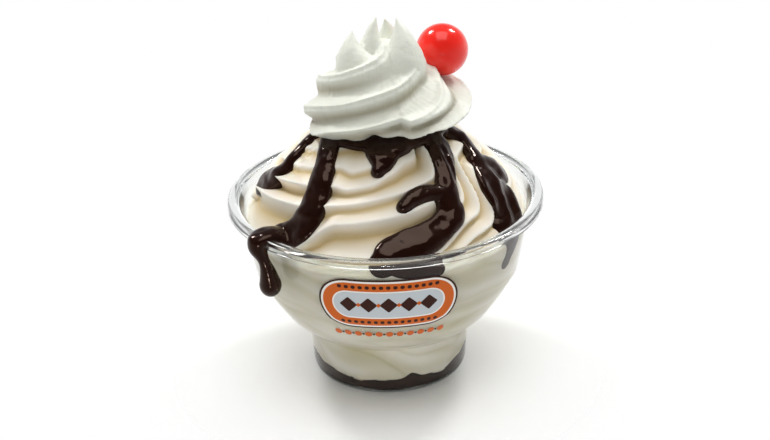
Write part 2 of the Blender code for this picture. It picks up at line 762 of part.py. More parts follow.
def ruffle(turn, height):
    """How far the lowest turn stands out at a turn in degrees and a height in mm."""
    along = smoothstep((turn - RUFFLE_START) / RUFFLE_START_WIDTH)
    along = along * smoothstep((RUFFLE_END - turn) / RUFFLE_END_WIDTH)
    upright = smoothstep((height - RUFFLE_BOTTOM) / RUFFLE_FADE)
    upright = upright * smoothstep((RUFFLE_TOP - height) / RUFFLE_FADE)
    return RUFFLE_REACH * along * upright


def carve_cream(mesh):
    """Cuts the twisted flutes into the dome and lifts its lower edge at the front."""
    points = get_points(mesh)
    radius = np.hypot(points[:, 0], points[:, 1])
    turn = np.degrees(np.arctan2(points[:, 1], points[:, 0]))
    height = points[:, 2] / MM
    step = SLOPE_STEP
    slope = (cream_radius(height + step) - cream_radius(height - step)) / MM / (2 * step)
    slope = np.clip(slope, -CREAM_STEEPEST, CREAM_STEEPEST)
    length = np.sqrt(1.0 + slope ** 2)
    phase = flute_phase(turn, height)
    fade = smoothstep((height - FLUTE_BOTTOM) / FLUTE_BOTTOM_FADE)
    fade = fade * smoothstep((radius / MM - FLUTE_CENTRE) / FLUTE_CENTRE_FADE)
    deep = FLUTE_DEPTH * FLUTE_PITCH * MM * wave(phase, FLUTE_HOLD, FLUTE_VALLEY) * fade
    lean = FLUTE_OVERHANG * MM * overhang(phase, FLUTE_VALLEY) * fade
    new_radius = np.maximum(radius + ruffle(turn, height) - deep / length, 0.1 * radius)
    new_height = points[:, 2] + deep * slope / length - lean / length
    low = smoothstep((CREAM_LIFT_TOP - height) / CREAM_LIFT_TOP_FADE)
    low = low * smoothstep((height - CREAM_LIFT_BOTTOM) / CREAM_LIFT_BOTTOM_FADE)
    lift = CREAM_LIFT * MM * np.cos(np.radians(turn - CREAM_LIFT_TURN))
    scale = np.divide(new_radius, radius, out=np.ones_like(radius), where=radius > 1e-7)
    points[:, 0] *= scale
    points[:, 1] *= scale
    points[:, 2] = new_height + lift * low
    set_points(mesh, points)


def peak_shape(root, tip, root_radius, collection):
    """A leaning petal that ends a flute at the crown."""
    shares = [0.0, 0.35, 0.6, 0.8, 0.92, 1.0]
    points = [(Vector(root).lerp(Vector(tip), share) * MM)[:] for share in shares]
    radii = [(root_radius * (1.0 - share) ** PETAL_TAPER + PETAL_TIP) * MM for share in shares]
    return curve_through(points, radii, "peak", collection)


def make_cream(mound, fudge, cherry, collection, cutters):
    heights = np.linspace(CREAM_HEIGHTS[-1], CREAM_HEIGHTS[0], 80)
    outline = [(float(cream_radius(height)), height * MM) for height in heights]
    outline[0] = (0.0, outline[0][1])
    outline[-1] = (0.0, outline[-1][1])
    dome = turned("dome", even_points(outline, CREAM_ROW), CREAM_STEPS, collection)
    carve_cream(dome.data)
    dome.data.transform(dome.matrix_world.Translation(CREAM_CENTRE))
    shapes = [dome] + [peak_shape(root, tip, width, collection) for root, tip, width in CREAM_PEAKS]
    cream = joined(shapes, "cream_shapes", collection)
    cream = fused(cream, CREAM_VOXEL, "cream_fused", collection)
    cream = thinned(cream, CREAM_TRIANGLES, "cream_thin", collection)
    takers = [grown(neighbour, GROWTH, cutters) for neighbour in (mound, fudge, cherry)]
    return cut(cream, takers, "whipped_cream", collection)


# Cherry

def make_cherry(collection):
    bpy.ops.mesh.primitive_uv_sphere_add(segments=CHERRY_SEGMENTS, ring_count=CHERRY_RINGS,
                                         radius=CHERRY_RADIUS, location=CHERRY_CENTRE)
    cherry = bpy.context.object
    cherry.name = "cherry"
    for owner in list(cherry.users_collection):
        owner.objects.unlink(cherry)
    collection.objects.link(cherry)
    cherry.data.transform(cherry.matrix_world.Translation(cherry.location))
    cherry.location = (0, 0, 0)
    bpy.context.view_layer.update()
    return cherry


def finish_piece(scene_object, finish, smooth_angle):
    scene_object.data.materials.clear()
    scene_object.data.materials.append(finish)
    scene_object.data.shade_smooth()
    scene_object.data.set_sharp_from_angle(angle=math.radians(smooth_angle))


def main():
    clear_scene()
    pieces = new_collection("hot_fudge_sundae")
    cutters = new_collection("cutters")

    clear_plastic = material("clear_plastic", (0.85, 0.88, 0.88), 0.05, 0.3)
    fudge_finish = material("hot_fudge", (0.022, 0.010, 0.007), 0.18)
    ice_cream_finish = material("vanilla_soft_serve", (0.86, 0.80, 0.66), 0.45)
    cream_finish = material("whipped_cream", (0.90, 0.90, 0.85), 0.55)
    cherry_finish = material("maraschino", (0.75, 0.02, 0.015), 0.12)

    cup = make_cup(pieces)
    foot_fudge = make_foot_fudge(pieces)
    mound = make_mound(pieces)
    fudge = make_fudge(mound, cup, pieces, cutters)
    cherry = make_cherry(pieces)
    cream = make_cream(mound, fudge, cherry, pieces, cutters)

    finish_piece(cup, clear_plastic, 30)
    finish_piece(foot_fudge, fudge_finish, 40)
    finish_piece(mound, ice_cream_finish, 50)
    finish_piece(fudge, fudge_finish, 50)
    finish_piece(cream, cream_finish, 50)
    finish_piece(cherry, cherry_finish, 60)


main()
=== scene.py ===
import math

import bmesh
import bpy
import numpy as np
from mathutils import Matrix, Vector, noise


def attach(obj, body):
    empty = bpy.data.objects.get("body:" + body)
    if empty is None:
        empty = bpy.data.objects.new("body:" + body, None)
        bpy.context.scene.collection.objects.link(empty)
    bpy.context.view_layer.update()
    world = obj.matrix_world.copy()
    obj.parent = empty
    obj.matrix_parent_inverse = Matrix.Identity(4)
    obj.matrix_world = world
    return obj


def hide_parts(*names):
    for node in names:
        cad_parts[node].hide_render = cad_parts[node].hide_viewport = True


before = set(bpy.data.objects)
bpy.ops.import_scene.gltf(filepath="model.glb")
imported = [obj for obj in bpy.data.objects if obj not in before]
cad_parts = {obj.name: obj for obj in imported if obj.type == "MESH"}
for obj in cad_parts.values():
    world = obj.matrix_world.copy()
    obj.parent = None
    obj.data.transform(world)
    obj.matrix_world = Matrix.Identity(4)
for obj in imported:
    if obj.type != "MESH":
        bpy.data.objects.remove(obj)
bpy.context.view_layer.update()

# Hot fudge sundae in a clear moulded cup, on a pale table in soft light from above and behind.
# Metres, +Z up, on the CAD frame. Heights and widths in the tables are millimetres
# and turns are degrees round Z, where -90 faces the camera.

MM = 0.001

# Cup
CUP_HEIGHT = 63.2 * MM
CUP_WALL = 0.9 * MM
CUP_FLOOR = 0.8 * MM
CUP_STEPS = 256
FOOT_RADIUS = 26.5 * MM
FOOT_RING_WIDTH = 2.0 * MM
FOOT_RING_SLOPE = 0.6 * MM
FOOT_RECESS = 0.5 * MM
NECK_RADIUS = 27.6 * MM
THROAT_HEIGHT = 60.0 * MM
THROAT_RADIUS = 48.0 * MM
RIM_RADIUS = 52.5 * MM
CUP_SHARP_ANGLE = 35
# Outer wall from the foot to the throat, as (height, radius)
CUP_OUTER = [(0.0, FOOT_RADIUS), (1.2 * MM, FOOT_RADIUS + 0.3 * MM), (10.0 * MM, NECK_RADIUS - 0.3 * MM),
             (18.0 * MM, NECK_RADIUS), (20.5 * MM, 33.0 * MM), (24.0 * MM, 36.4 * MM), (30.0 * MM, 40.4 * MM),
             (38.0 * MM, 44.6 * MM), (47.0 * MM, 46.0 * MM), (56.0 * MM, 47.6 * MM),
             (THROAT_HEIGHT, THROAT_RADIUS)]
# Rolled rim, from the lip over the top and back under it: radius past the throat or short
# of the rim's edge, and depth under the top, in mm
LIP_PROFILE = [(0.5, 1.0), (1.0, 0.5), (1.7, 0.15)]
RIM_PROFILE = [(2.2, 0.02), (1.5, 0.0), (0.8, 0.2), (0.25, 0.7), (0.0, 1.4), (0.0, 2.45), (0.15, 2.6),
               (0.75, 2.6), (0.9, 2.45), (0.9, 1.5)]
UNDER_RIM = (0.9, 1.4)
# Food pressed against the wall reaches this far into it
PRESS = 0.15 * MM

# Fudge in the foot: swells and dips of its top as turn, height and half-width in degrees
FOOT_FUDGE_LEVEL = 5.2 * MM
FOOT_FUDGE_SWELLS = [(-165, 1.6, 16), (-114, -0.9, 9), (-74, 1.8, 5), (-50, -0.9, 9), (-16, 2.3, 18),
                     (40, -0.8, 20), (95, 1.2, 16)]
FOOT_FUDGE_RIPPLE = 0.22 * MM
# Two waves round the axis make its ripple, the second one turned by so many degrees
FOOT_FUDGE_WAVES = (11.0, 7.0)
FOOT_FUDGE_WAVE_TURN = 40.0
# How far from the fudge's top the pieces beside it still follow its swells
FOOT_FUDGE_REACH = 2.4 * MM
MOUND_FOOT_REACH = 4.0 * MM
FOOT_FUDGE_ROW = 1.0 * MM
FOOT_FUDGE_WALL_ROW = 0.4 * MM
FOOT_FUDGE_SHARP_ANGLE = 50

# Soft-serve mound
MOUND_HEIGHTS = [50, 55, 61, 68, 72, 76, 80, 85, 87, 88.5]
MOUND_RADII = [47.2, 46.6, 45.4, 41.0, 37.5, 33.0, 28.5, 22.5, 17.0, 0]
MOUND_SMOOTHING = 1.2
# The mound lies against the wall below this height in mm
MOUND_WALL_TOP = 52
# Height step in mm for the slope of a form
SLOPE_STEP = 0.5
MOUND_STEPS = 400
MOUND_OUTLINE_STEPS = 160
MOUND_ROW = 0.38 * MM
MOUND_WALL_ROW = 0.6 * MM
MOUND_FLOOR_ROW = 3.0 * MM
# The mound sinks this far into the fudge in the foot
MOUND_SINK = 0.4 * MM
# Uneven surfaces: each layer's height in mm, the size of its swells in mm, and its seed
MOUND_SKIN = [(0.12, 5.0, 11.0), (0.05, 1.8, 23.0)]
MOUND_WANDER = [(0.35, 14.0, 3.1)]
# A torn patch of the mound on the left: its turn, its heights in mm, and its crumbs
TORN_TURN = -146
TORN_SIDE_FADE = 8
TORN_BOTTOM = 73
TORN_BOTTOM_FADE = 4
TORN_TOP = 86
TORN_TOP_FADE = 3
TORN_SKIN = [(0.55, 1.6, 41.0)]
# Painted shade of folds seen through the wall: their distance in mm, slant in mm a degree, bends, waves
# round the cup, and the height in mm where they end
FOLD_PITCH = 5.0
FOLD_SLANT = 0.12
FOLD_BEND = [(2.2, 16.0, 6.3)]
FOLD_WAVES = 1.6
FOLD_TOP = 60
FOLD_TOP_FADE = 6.0
FOLD_BAND_SHARE = 0.8
FOLD_BAND_LEVEL = 0.35
FOLD_BAND_GAIN = 0.9
FOLD_LINE_SHARE = 0.35
FOLD_LINE_SHARPNESS = 5.0
FOLD_LINE_STRETCH = 0.7
FOLD_SEEDS = (19.0, 47.0)
# Powers that keep the painted shade to the deepest part of each valley
MOUND_SHADE_POWER = 1.3
CREAM_SHADE_POWER = 1.5
POCKET_TURN = 90
POCKET_HALF_TURN = 58
POCKET_DEPTH = 5.3
POCKET_BOTTOM = 50
POCKET_TOP = 78
POCKET_SIDE_FADE = 35
POCKET_BOTTOM_FADE = 7
POCKET_TOP_FADE = 12

# The mound's ridges: they climb round the cup as a thread of several starts
RIDGE_PITCH = 4.6
RIDGE_STARTS = 7
RIDGE_FIRST_HEIGHT = 70.3
RIDGE_FIRST_TURN = -100
GENTLE_CLIMB = 0.1
STEEP_CLIMB = 12.5
STEEP_TURN = -35
STEEP_HEIGHT = 71
STEEP_DRIFT = 1.25
STEEP_WIDTH = 34
RIDGE_DEPTH = 0.44
RIDGE_OVERHANG = 0.6
RIDGE_HOLD = 0.0
RIDGE_VALLEY = 0.38
RIDGE_WIDEST = 6.5
RIDGE_FIRST = -14
RIDGE_LAST = 15
# They fade out below this height and close to the axis, in mm
RIDGE_BOTTOM = 55
RIDGE_BOTTOM_FADE = 5
RIDGE_CENTRE = 6
RIDGE_CENTRE_FADE = 8

# Zones of turn in degrees: where each starts, how long it takes to rise, where it
# ends and how long it takes to fall
RIDGE_ZONES = {
    "front": (-150, 25, -50, 20),
    "left": (-200, 25, -112, 22),
    "right": (-75, 15, 15, 25),
    "dip": (-122, 12, -86, 12),
    "swell": (-88, 14, -44, 14),
    "paddles": (-186, 14, -134, 12),
    "shaped": (-178, 18, -30, 20),
}
# Ridges that stray from the even ladder: first and last, zone, and shift in mm
RIDGE_SHIFTS = [(0, 0, "left", -8.5), (-1, -1, "front", -5.4), (-1, -1, "left", -5.0),
                (RIDGE_FIRST, -2, "front", -3.6), (RIDGE_FIRST, -2, "left", -4.0), (-4, -1, "right", 1.2),
                (2, 2, "dip", -1.3), (3, 3, "dip", -1.8), (2, RIDGE_LAST, "swell", 1.4)]
# Ridges with a deeper or shallower valley under them, within the zone named shaped
RIDGE_SHARES = {0: 1.3, 1: 0.75, 2: 1.3, 3: 0.4, 4: 0.2, 5: 0.2, 6: 0.2}
# Ridges on the left stand out like paddles, by so many mm between two heights
PADDLE_REACH = 1.7
PADDLE_BOTTOM = 63
PADDLE_TOP = 79
PADDLE_FADE = 4

# Fudge runs on the mound: turn, height and half-width
FUDGE_RUNS = {
    "left": [(-150, 86.5, 3.8), (-138, 84, 3.6), (-131, 79, 4.2), (-128, 73, 4.8), (-128, 68, 5.2),
             (-132, 64, 5.2), (-139, 61.5, 4.8)],
    "middle": [(-92, 87.2, 6.0), (-91, 85, 5.4), (-92, 82.8, 3.8), (-94, 81.2, 2.4)],
    "middle_fold": [(-93, 86, 3.0), (-80, 85.6, 3.2), (-66, 86.4, 3.2), (-48, 87, 3.2)],
    "right_of_middle": [(-38, 86, 4.6), (-46, 81.4, 4.4), (-53, 77, 3.8), (-57, 73, 4.2), (-58, 70, 4.6),
                        (-64, 67.6, 4.6), (-72, 65.4, 5.4), (-80, 63.6, 6.2), (-88, 61.6, 6.0),
                        (-92, 59, 4.4)],
    "arm": [(-58, 74.5, 3.4), (-66, 75.4, 3.2), (-74, 75.0, 3.2), (-81, 73.2, 2.6)],
    "right": [(-10, 86.5, 4.0), (-8, 82.5, 3.8), (-15, 78.7, 3.2), (-21, 75.6, 4.6), (-25, 71.7, 6.6),
              (-25, 67, 8.4), (-25, 62.5, 7.6), (-30, 58.5, 4.6)],
    "right_lobe": [(-21, 77.4, 3.2), (-13, 74.6, 4.4), (-9, 71, 4.8)],
    "far_left": [(-174, 85.5, 3.8), (-168, 81.8, 2.8), (-165, 78, 2.8), (-164, 74, 4.0), (-172, 69.5, 5.2)],
    "back": [(70, 86, 3.8), (66, 80, 3.6), (72, 74, 4.4), (68, 69, 5.2)],
    "back_left": [(130, 86, 3.8), (138, 80, 3.4), (134, 75, 4.8)],
}
FUDGE_THICKNESS = 2.2 * MM
FUDGE_DRAPE = 0.85
FUDGE_DRAPE_REACH = (-2.0, -1.0, 0.0, 1.0, 2.0)
POOL_RADIUS = 21.5 * MM
POOL_HEIGHT = 86.2 * MM
POOL_RISE = 4.4 * MM
POOL_STEPS = 128
POOL_OUTLINE_STEPS = 40
RUN_STEPS = 8
RUN_SIDES = 28

# Fudge squeezed between the mound and the wall: turn, height and half-width
WALL_STREAKS = {
    "middle": [(-90, 60.0, 4.2), (-84, 57.8, 4.8), (-77, 56.6, 4.2), (-71, 55.8, 3.4)],
    "right": [(-32, 58.0, 6.8), (-31, 55.5, 6.8), (-32, 52.0, 6.0), (-34, 48.8, 4.4)],
}
STREAK_SINK = 0.72
STREAK_PRESS = PRESS + 0.25 * MM

# The run that crosses the rim and hangs outside: turn, distance from the axis, height, half-width
RIM_RUN = [(-136, 44.0, 61.3, 4.6), (-139, 48.0, 62.9, 4.6), (-139.5, 51.0, 62.8, 4.2),
           (-139, 52.8, 60.4, 3.2), (-137, 52.4, 56.5, 1.9), (-136, 51.8, 52.5, 2.6),
           (-135.5, 51.5, 48.0, 3.6)]
# The run is pressed flat where it lies on the rim and stays round lower down
RIM_RUN_ROUND = 57
RIM_RUN_FLAT = 61
DROP_STRETCH = 1.15
FUDGE_VOXEL = 0.38 * MM
# Strength and rounds of the softening once overlapping shapes are fused
FUDGE_SOFTENING = (0.6, 10)
CREAM_SOFTENING = (0.5, 1)
FUDGE_SWELLS = [(0.42, 6.0, 5.5), (0.2, 2.8, 17.0)]
# Its swells start above this height in mm
FUDGE_SWELLS_BOTTOM = 61.0
FUDGE_SWELLS_FADE = 3.0

# Whipped cream
CREAM_CENTRE = Vector((-0.8 * MM, -1.0 * MM, 0))
CREAM_HEIGHTS = [82, 84.5, 86.5, 89.5, 92.5, 96, 100, 103, 106, 109, 112, 114, 115.5]
CREAM_RADII = [0, 15, 20.5, 24.4, 24.8, 24.0, 22.0, 19.4, 17.2, 14.8, 11.0, 7.0, 0]
CREAM_SMOOTHING = 0.9
CREAM_STEPS = 320
CREAM_OUTLINE_STEPS = 200
CREAM_ROW = 0.4 * MM
CREAM_VOXEL = 0.36 * MM
FLUTE_PITCH = 8.6
FLUTE_STARTS = 4
FLUTE_FIRST_HEIGHT = 104.2
FLUTE_FIRST_TURN = -90
FLUTE_DEPTH = 0.36
FLUTE_OVERHANG = 0.7
FLUTE_HOLD = 0.2
FLUTE_VALLEY = 0.62
CREAM_SKIN = [(0.16, 4.0, 2.2), (0.08, 1.5, 31.0)]
CREAM_WANDER = [(0.5, 11.0, 7.7)]
# Wrinkles across the flutes: how many round, how deep in mm, and how they stretch upwards
WRINKLE_COUNT = 22
WRINKLE_DEPTH = 0.3
WRINKLE_STRETCH = 0.12
# A crisp lip along each crest: its rise in mm and width as a share of the pitch
LIP_RISE = 0.7
LIP_WIDTH = 0.06
# Notches in the cream's lower edge: turn, rise in mm and half-width in degrees
EDGE_NOTCHES = [(-97, 1.7, 8), (-57, 1.0, 8), (-130, 0.6, 10), (-165, 1.2, 9), (15, 1.0, 12), (70, 1.3, 11),
                (125, 1.1, 13)]
# The edge is also lifted by so many mm between two turns, and both end above it
EDGE_LIFT = 0.8
EDGE_LIFT_START = -150.0
EDGE_LIFT_END = -40.0
EDGE_LIFT_FADE = 30.0
EDGE_TOP = 95.0
EDGE_TOP_FADE = 8.0
FLUTE_BOTTOM = 86
FLUTE_BOTTOM_FADE = 4
# The painted shade in the flutes' valleys ends below the petals
SHADE_TOP = 112
SHADE_TOP_FADE = 10
FLUTE_CENTRE = 1
FLUTE_CENTRE_FADE = 6
CREAM_STEEPEST = 3.0
CREAM_LIFT = 3.2
CREAM_LIFT_TURN = -50
CREAM_LIFT_BOTTOM = 80
CREAM_LIFT_BOTTOM_FADE = 4
CREAM_LIFT_TOP = 102
CREAM_LIFT_TOP_FADE = 14

# Petals at the cream's crown: root and tip, and root radius
CREAM_PEAKS = [((-6.4, -4.5, 105.0), (-8.8, -2.0, 118.4), 7.4),
               ((-1.5, -1.0, 106.0), (-1.2, 2.0, 121.6), 5.6),
               ((5.8, -4.5, 104.5), (5.0, -1.0, 121.8), 8.4),
               ((2.5, 6.5, 105.0), (1.5, 7.5, 119.0), 6.8)]
PETAL_STEPS = 24
PETAL_TAPER = 1.25
PETAL_FULLNESS = 1.6
PETAL_TIP = 0.35
PETAL_BULGE = 1.8

# The cream's lowest turn stands out as a ruffle on the right
RUFFLE_REACH = 4.8
RUFFLE_START = -75
RUFFLE_START_WIDTH = 5
RUFFLE_END = 95
RUFFLE_END_WIDTH = 60
RUFFLE_BOTTOM = 84
RUFFLE_TOP = 103
RUFFLE_FADE = 6

# Cherry: the dimple's depth as a share of the radius, its half-width in radians, and the lean
CHERRY_CENTRE = Vector((19.8 * MM, 9.0 * MM, 108.0 * MM))
CHERRY_RADIUS = 8.5 * MM
CHERRY_STEPS = 96
CHERRY_OUTLINE_STEPS = 60
DIMPLE_DEPTH = 0.16
DIMPLE_WIDTH = 0.26
CHERRY_LEAN = (50, -30)

# Print on the front of the wall: the heights of a plaque and of the row of dots under it
PRINT_TURN = -90
PRINT_RADIUS = 45.0 * MM
PRINT_HEIGHT = 44.6
ROW_HEIGHT = 31.6
PRINT_STRIP = 0.6 * MM
# How far the first layer of ink stands out, and by what share each further layer adds to it
INK_RISE = 0.04 * MM
INK_STEP = 0.25
INKS = {"brown": ("brown ink", "3a1a10"), "orange": ("orange ink", "d4641c"),
        "white": ("white ink", "f4f1ea"), "grey": ("pale grey ink", "c9d0d4")}
# The plaque's layers: name, half-width, half-height and ink
PLAQUE_LAYERS = [("plaque_outline", 22.0, 9.6, "brown"), ("plaque_edge", 21.4, 9.0, "white"),
                 ("plaque_band", 20.7, 8.3, "orange"), ("plaque_inner_edge", 17.6, 5.2, "white"),
                 ("plaque_middle", 17.1, 4.7, "grey")]
# Points on each round end
PLAQUE_STEPS = 40
# Rows of square marks: name, count, distance, side, corner, turn in degrees, height, ink and layer
MARK_ROWS = [("large_diamonds", 5, 6.2, 4.0, 0.4, 45, PRINT_HEIGHT, "brown", 6),
             ("small_diamonds", 4, 6.2, 1.2, 0.1, 45, PRINT_HEIGHT, "orange", 6),
             ("upper_stripe", 15, 2.1, 1.3, 0.6, 0, PRINT_HEIGHT + 6.75, "brown", 6),
             ("lower_stripe", 15, 2.1, 1.3, 0.6, 0, PRINT_HEIGHT - 6.75, "brown", 6),
             ("row_of_dots", 11, 3.6, 2.4, 1.1, 0, ROW_HEIGHT, "orange", 0),
             ("row_of_points", 10, 3.6, 0.9, 0.4, 0, ROW_HEIGHT, "brown", 0)]

# Fine relief of each finish: size of its swells in mm, rounds of finer detail, and depth in mm.
# Bubbles in soft serve and whipped cream are a tenth of a millimetre across, too fine to show,
# so they are drawn as coarse as this.
PLASTIC_RELIEF = (11.11, 1.0, 0.08)
SOFT_SERVE_RELIEF = (0.7143, 3.0, 0.06)
FUDGE_RELIEF = (3.846, 2.0, 0.12)
CREAM_RELIEF = (0.5263, 3.0, 0.12)
CHERRY_RELIEF = (5.556, 2.0, 0.05)
# The ink's film: size of its uneven places in mm, and its roughness from the shiniest to the dullest
INK_FILM_SIZE = 1.4286
INK_ROUGHNESS = (0.28, 0.4)

# Brightness of the surround by direction, as ramps on an axis: from, to, first and last level
SURROUND_LEVELS = {"Z": (-0.15, 0.12, 0.92, 0.5), "Y": (-1.0, 1.0, 0.7, 1.3)}
# The same for what the glossy pieces mirror
MIRRORED_LEVELS = {"Z": (0.0, 0.5, 1.0, 0.2), "Y": (-1.0, 0.2, 0.3, 1.0)}

# Soft boxes: name, place, side in metres and power in watts
SOFT_BOXES = [("left back soft box", (-0.46, 0.46, 0.78), 0.18, 3.8),
              ("right back soft box", (0.46, 0.46, 0.78), 0.18, 3.8),
              ("overhead soft box", (0.0, -0.08, 0.75), 0.48, 1.6)]
SOFT_BOX_AIM = Vector((0.0, 0.0, 0.06))
# A low spot from the front: place, aim, power in watts, angle in degrees and soft size
SPOT_PLACE = Vector((0.0, -0.75, 0.02))
SPOT_AIM = Vector((0.0, -0.03, 0.024))
SPOT_POWER = 4.7
SPOT_ANGLE = 11
SPOT_SOFTNESS = 0.06

# View: degrees down and of roll, distance, the point that it looks at, and the focal length
# as a share of the sensor's width
VIEW_FALL = 25.92
VIEW_ROLL = -1.75
VIEW_DISTANCE = 0.420
VIEW_AIM = Vector((-0.00035, 0.0, 0.0516))
SENSOR_WIDTH = 36.0
FOCAL_SHARE = 1245.0 / 770.0

# The table top, and how far from the middle it starts and ends to fade out
TABLE_RADIUS = 0.6
TABLE_FADE = (0.036, 0.09)

# Distance of the circle that a profile is swept along from the axis
SWEEP_RADIUS = 0.01
# A swept run without a surface under it has no way out of one
NO_SIDE = (0.0, 0.0, 0.0)


# Small tools

def linear(code):
    """A colour given as an sRGB hex code, as linear red, green, blue, alpha."""
    result = []
    for start in (0, 2, 4):
        value = int(code[start:start + 2], 16) / 255
        result.append(value / 12.92 if value <= 0.04045 else ((value + 0.055) / 1.055) ** 2.4)
    return (*result, 1.0)


def add_node(tree, kind, inputs=None, **settings):
    """Adds one node with its settings, and links or sets its inputs."""
    added = tree.nodes.new(kind)
    for name, value in settings.items():
        setattr(added, name, value)
    for name, value in (inputs or {}).items():
        if isinstance(value, bpy.types.NodeSocket):
            tree.links.new(value, added.inputs[name])
        else:
            added.inputs[name].default_value = value
    return added


def smoothstep(value):
    value = np.clip(value, 0.0, 1.0)
    return value * value * (3.0 - 2.0 * value)


def smooth_table(heights, values, at, spread_by):
    """Reads a table of values by height, with its corners rounded."""
    samples = [np.interp(at + shift, heights, values) for shift in np.linspace(-spread_by, spread_by, 7)]
    return np.mean(samples, axis=0)


def even_points(points, step):
    """Points at even steps along a line of (radius, height) points."""
    corners = np.array(points)
    lengths = np.concatenate([[0.0], np.cumsum(np.hypot(*np.diff(corners, axis=0).T))])
    count = max(2, int(round(lengths[-1] / step)) + 1)
    at = np.linspace(0.0, lengths[-1], count)
    return list(zip(np.interp(at, lengths, corners[:, 0]), np.interp(at, lengths, corners[:, 1])))


def spread(knots, per_span):
    """Even points on a smooth line through the knots, whatever their number of values."""
    knots = np.array(knots, dtype=float)
    padded = np.vstack([2 * knots[0] - knots[1], knots, 2 * knots[-1] - knots[-2]])
    result = []
    for before, start, end, after in zip(padded, padded[1:], padded[2:], padded[3:]):
        for step in range(per_span):
            t = step / per_span
            result.append(0.5 * (2 * start + (end - before) * t
                                 + (2 * before - 5 * start + 4 * end - after) * t ** 2
                                 + (3 * start - before - 3 * end + after) * t ** 3))
    result.append(knots[-1])
    return np.array(result)


def get_points(mesh):
    points = np.empty(len(mesh.vertices) * 3)
    mesh.vertices.foreach_get("co", points)
    return points.reshape(-1, 3)


def set_points(mesh, points):
    mesh.vertices.foreach_set("co", np.ascontiguousarray(points).ravel())
    mesh.update()


def get_normals(mesh):
    normals = np.empty(len(mesh.vertices) * 3)
    mesh.vertices.foreach_get("normal", normals)
    return normals.reshape(-1, 3)


def rough(points, size, seed):
    """Smooth random value from -1 to 1 at each point, with swells of that size in mm."""
    scaled = points / MM / size + seed
    return np.array([noise.noise(Vector(point)) for point in scaled])


def uneven(points, layers):
    """Sum in mm of several layers of swells, each given as height, size and seed."""
    return sum(height * rough(points, size, seed) for height, size, seed in layers)


def turn_between(turn, middle):
    """The shorter way round from a middle to a turn, in degrees."""
    return (turn - middle + 180.0) % 360.0 - 180.0


def swells_round(turn, swells):
    """Sum in mm of swells round the axis, each given as turn, rise and half-width."""
    return sum(rise * np.exp(-(turn_between(turn, middle) / width) ** 2) for middle, rise, width in swells)


def at_turn(turn, radius, height):
    """The point at a turn in degrees, a distance from the axis and a height."""
    angle = math.radians(turn)
    return radius * math.cos(angle), radius * math.sin(angle), height


def add_value(mesh, name, values):
    """Keeps a value at each point of a mesh for its material."""
    mesh.attributes.new(name, "FLOAT", "POINT").data.foreach_set("value", values.astype(np.float32))


def new_object(name, mesh):
    result = bpy.data.objects.new(name, mesh)
    bpy.context.scene.collection.objects.link(result)
    return result


def baked(scene_object, name):
    """Turns an object with its modifiers into a plain mesh object."""
    bpy.context.view_layer.update()
    graph = bpy.context.evaluated_depsgraph_get()
    mesh = bpy.data.meshes.new_from_object(scene_object.evaluated_get(graph))
    mesh.name = name
    bpy.data.objects.remove(scene_object, do_unlink=True)
    return new_object(name, mesh)


def face_outward(mesh):
    form = bmesh.new()
    form.from_mesh(mesh)
    bmesh.ops.remove_doubles(form, verts=form.verts, dist=0.000002)
    bmesh.ops.recalc_face_normals(form, faces=form.faces)
    form.to_mesh(mesh)
    form.free()


def joined(scene_objects, name):
    """One mesh that holds several shapes, which still overlap."""
    form = bmesh.new()
    for scene_object in scene_objects:
        form.from_mesh(scene_object.data)
        bpy.data.objects.remove(scene_object, do_unlink=True)
    mesh = bpy.data.meshes.new(name)
    form.to_mesh(mesh)
    form.free()
    return new_object(name, mesh)


def fused(scene_object, voxel, factor, repeats, name):
    """Fuses overlapping closed shapes into one even skin and softens it."""
    remesh = scene_object.modifiers.new("Fuse", "REMESH")
    remesh.mode = "VOXEL"
    remesh.voxel_size = voxel
    smooth = scene_object.modifiers.new("Soften", "SMOOTH")
    smooth.factor = factor
    smooth.iterations = repeats
    return baked(scene_object, name)


def cut_up(mesh, step):
    """Cuts a flat drawing into small squares, so that it can be bent round the wall."""
    form = bmesh.new()
    form.from_mesh(mesh)
    for across in (Vector((1.0, 0.0, 0.0)), Vector((0.0, 1.0, 0.0))):
        places = [vertex.co.dot(across) for vertex in form.verts]
        first = step * math.ceil(min(places) / step + 0.01)
        for place in np.arange(first, max(places), step):
            bmesh.ops.bisect_plane(form, geom=form.verts[:] + form.edges[:] + form.faces[:],
                                   plane_co=across * place, plane_no=across)
    form.to_mesh(mesh)
    form.free()


def finish_piece(piece, finish, smooth_angle=180):
    piece.data.materials.clear()
    piece.data.materials.append(finish)
    piece.data.shade_smooth()
    if smooth_angle < 180:
        piece.data.set_sharp_from_angle(angle=math.radians(smooth_angle))


# Geometry Nodes

def new_tree(name, sockets):
    """A node tree that takes geometry and the named inputs, and its two end nodes."""
    tree = bpy.data.node_groups.new(name, "GeometryNodeTree")
    tree.interface.new_socket("Geometry", in_out="INPUT", socket_type="NodeSocketGeometry")
    for label, kind in sockets:
        tree.interface.new_socket(label, in_out="INPUT", socket_type="NodeSocket" + kind)
    tree.interface.new_socket("Geometry", in_out="OUTPUT", socket_type="NodeSocketGeometry")
    return tree, add_node(tree, "NodeGroupInput"), add_node(tree, "NodeGroupOutput")


def end_tree(tree, start, end, geometry):
    """Ends a tree with real geometry and its material."""
    real = add_node(tree, "GeometryNodeRealizeInstances", {"Geometry": geometry})
    finished = add_node(tree, "GeometryNodeSetMaterial", {
        "Geometry": real.outputs["Geometry"], "Material": start.outputs["Finish"]})
    tree.links.new(finished.outputs["Geometry"], end.inputs["Geometry"])
    return tree


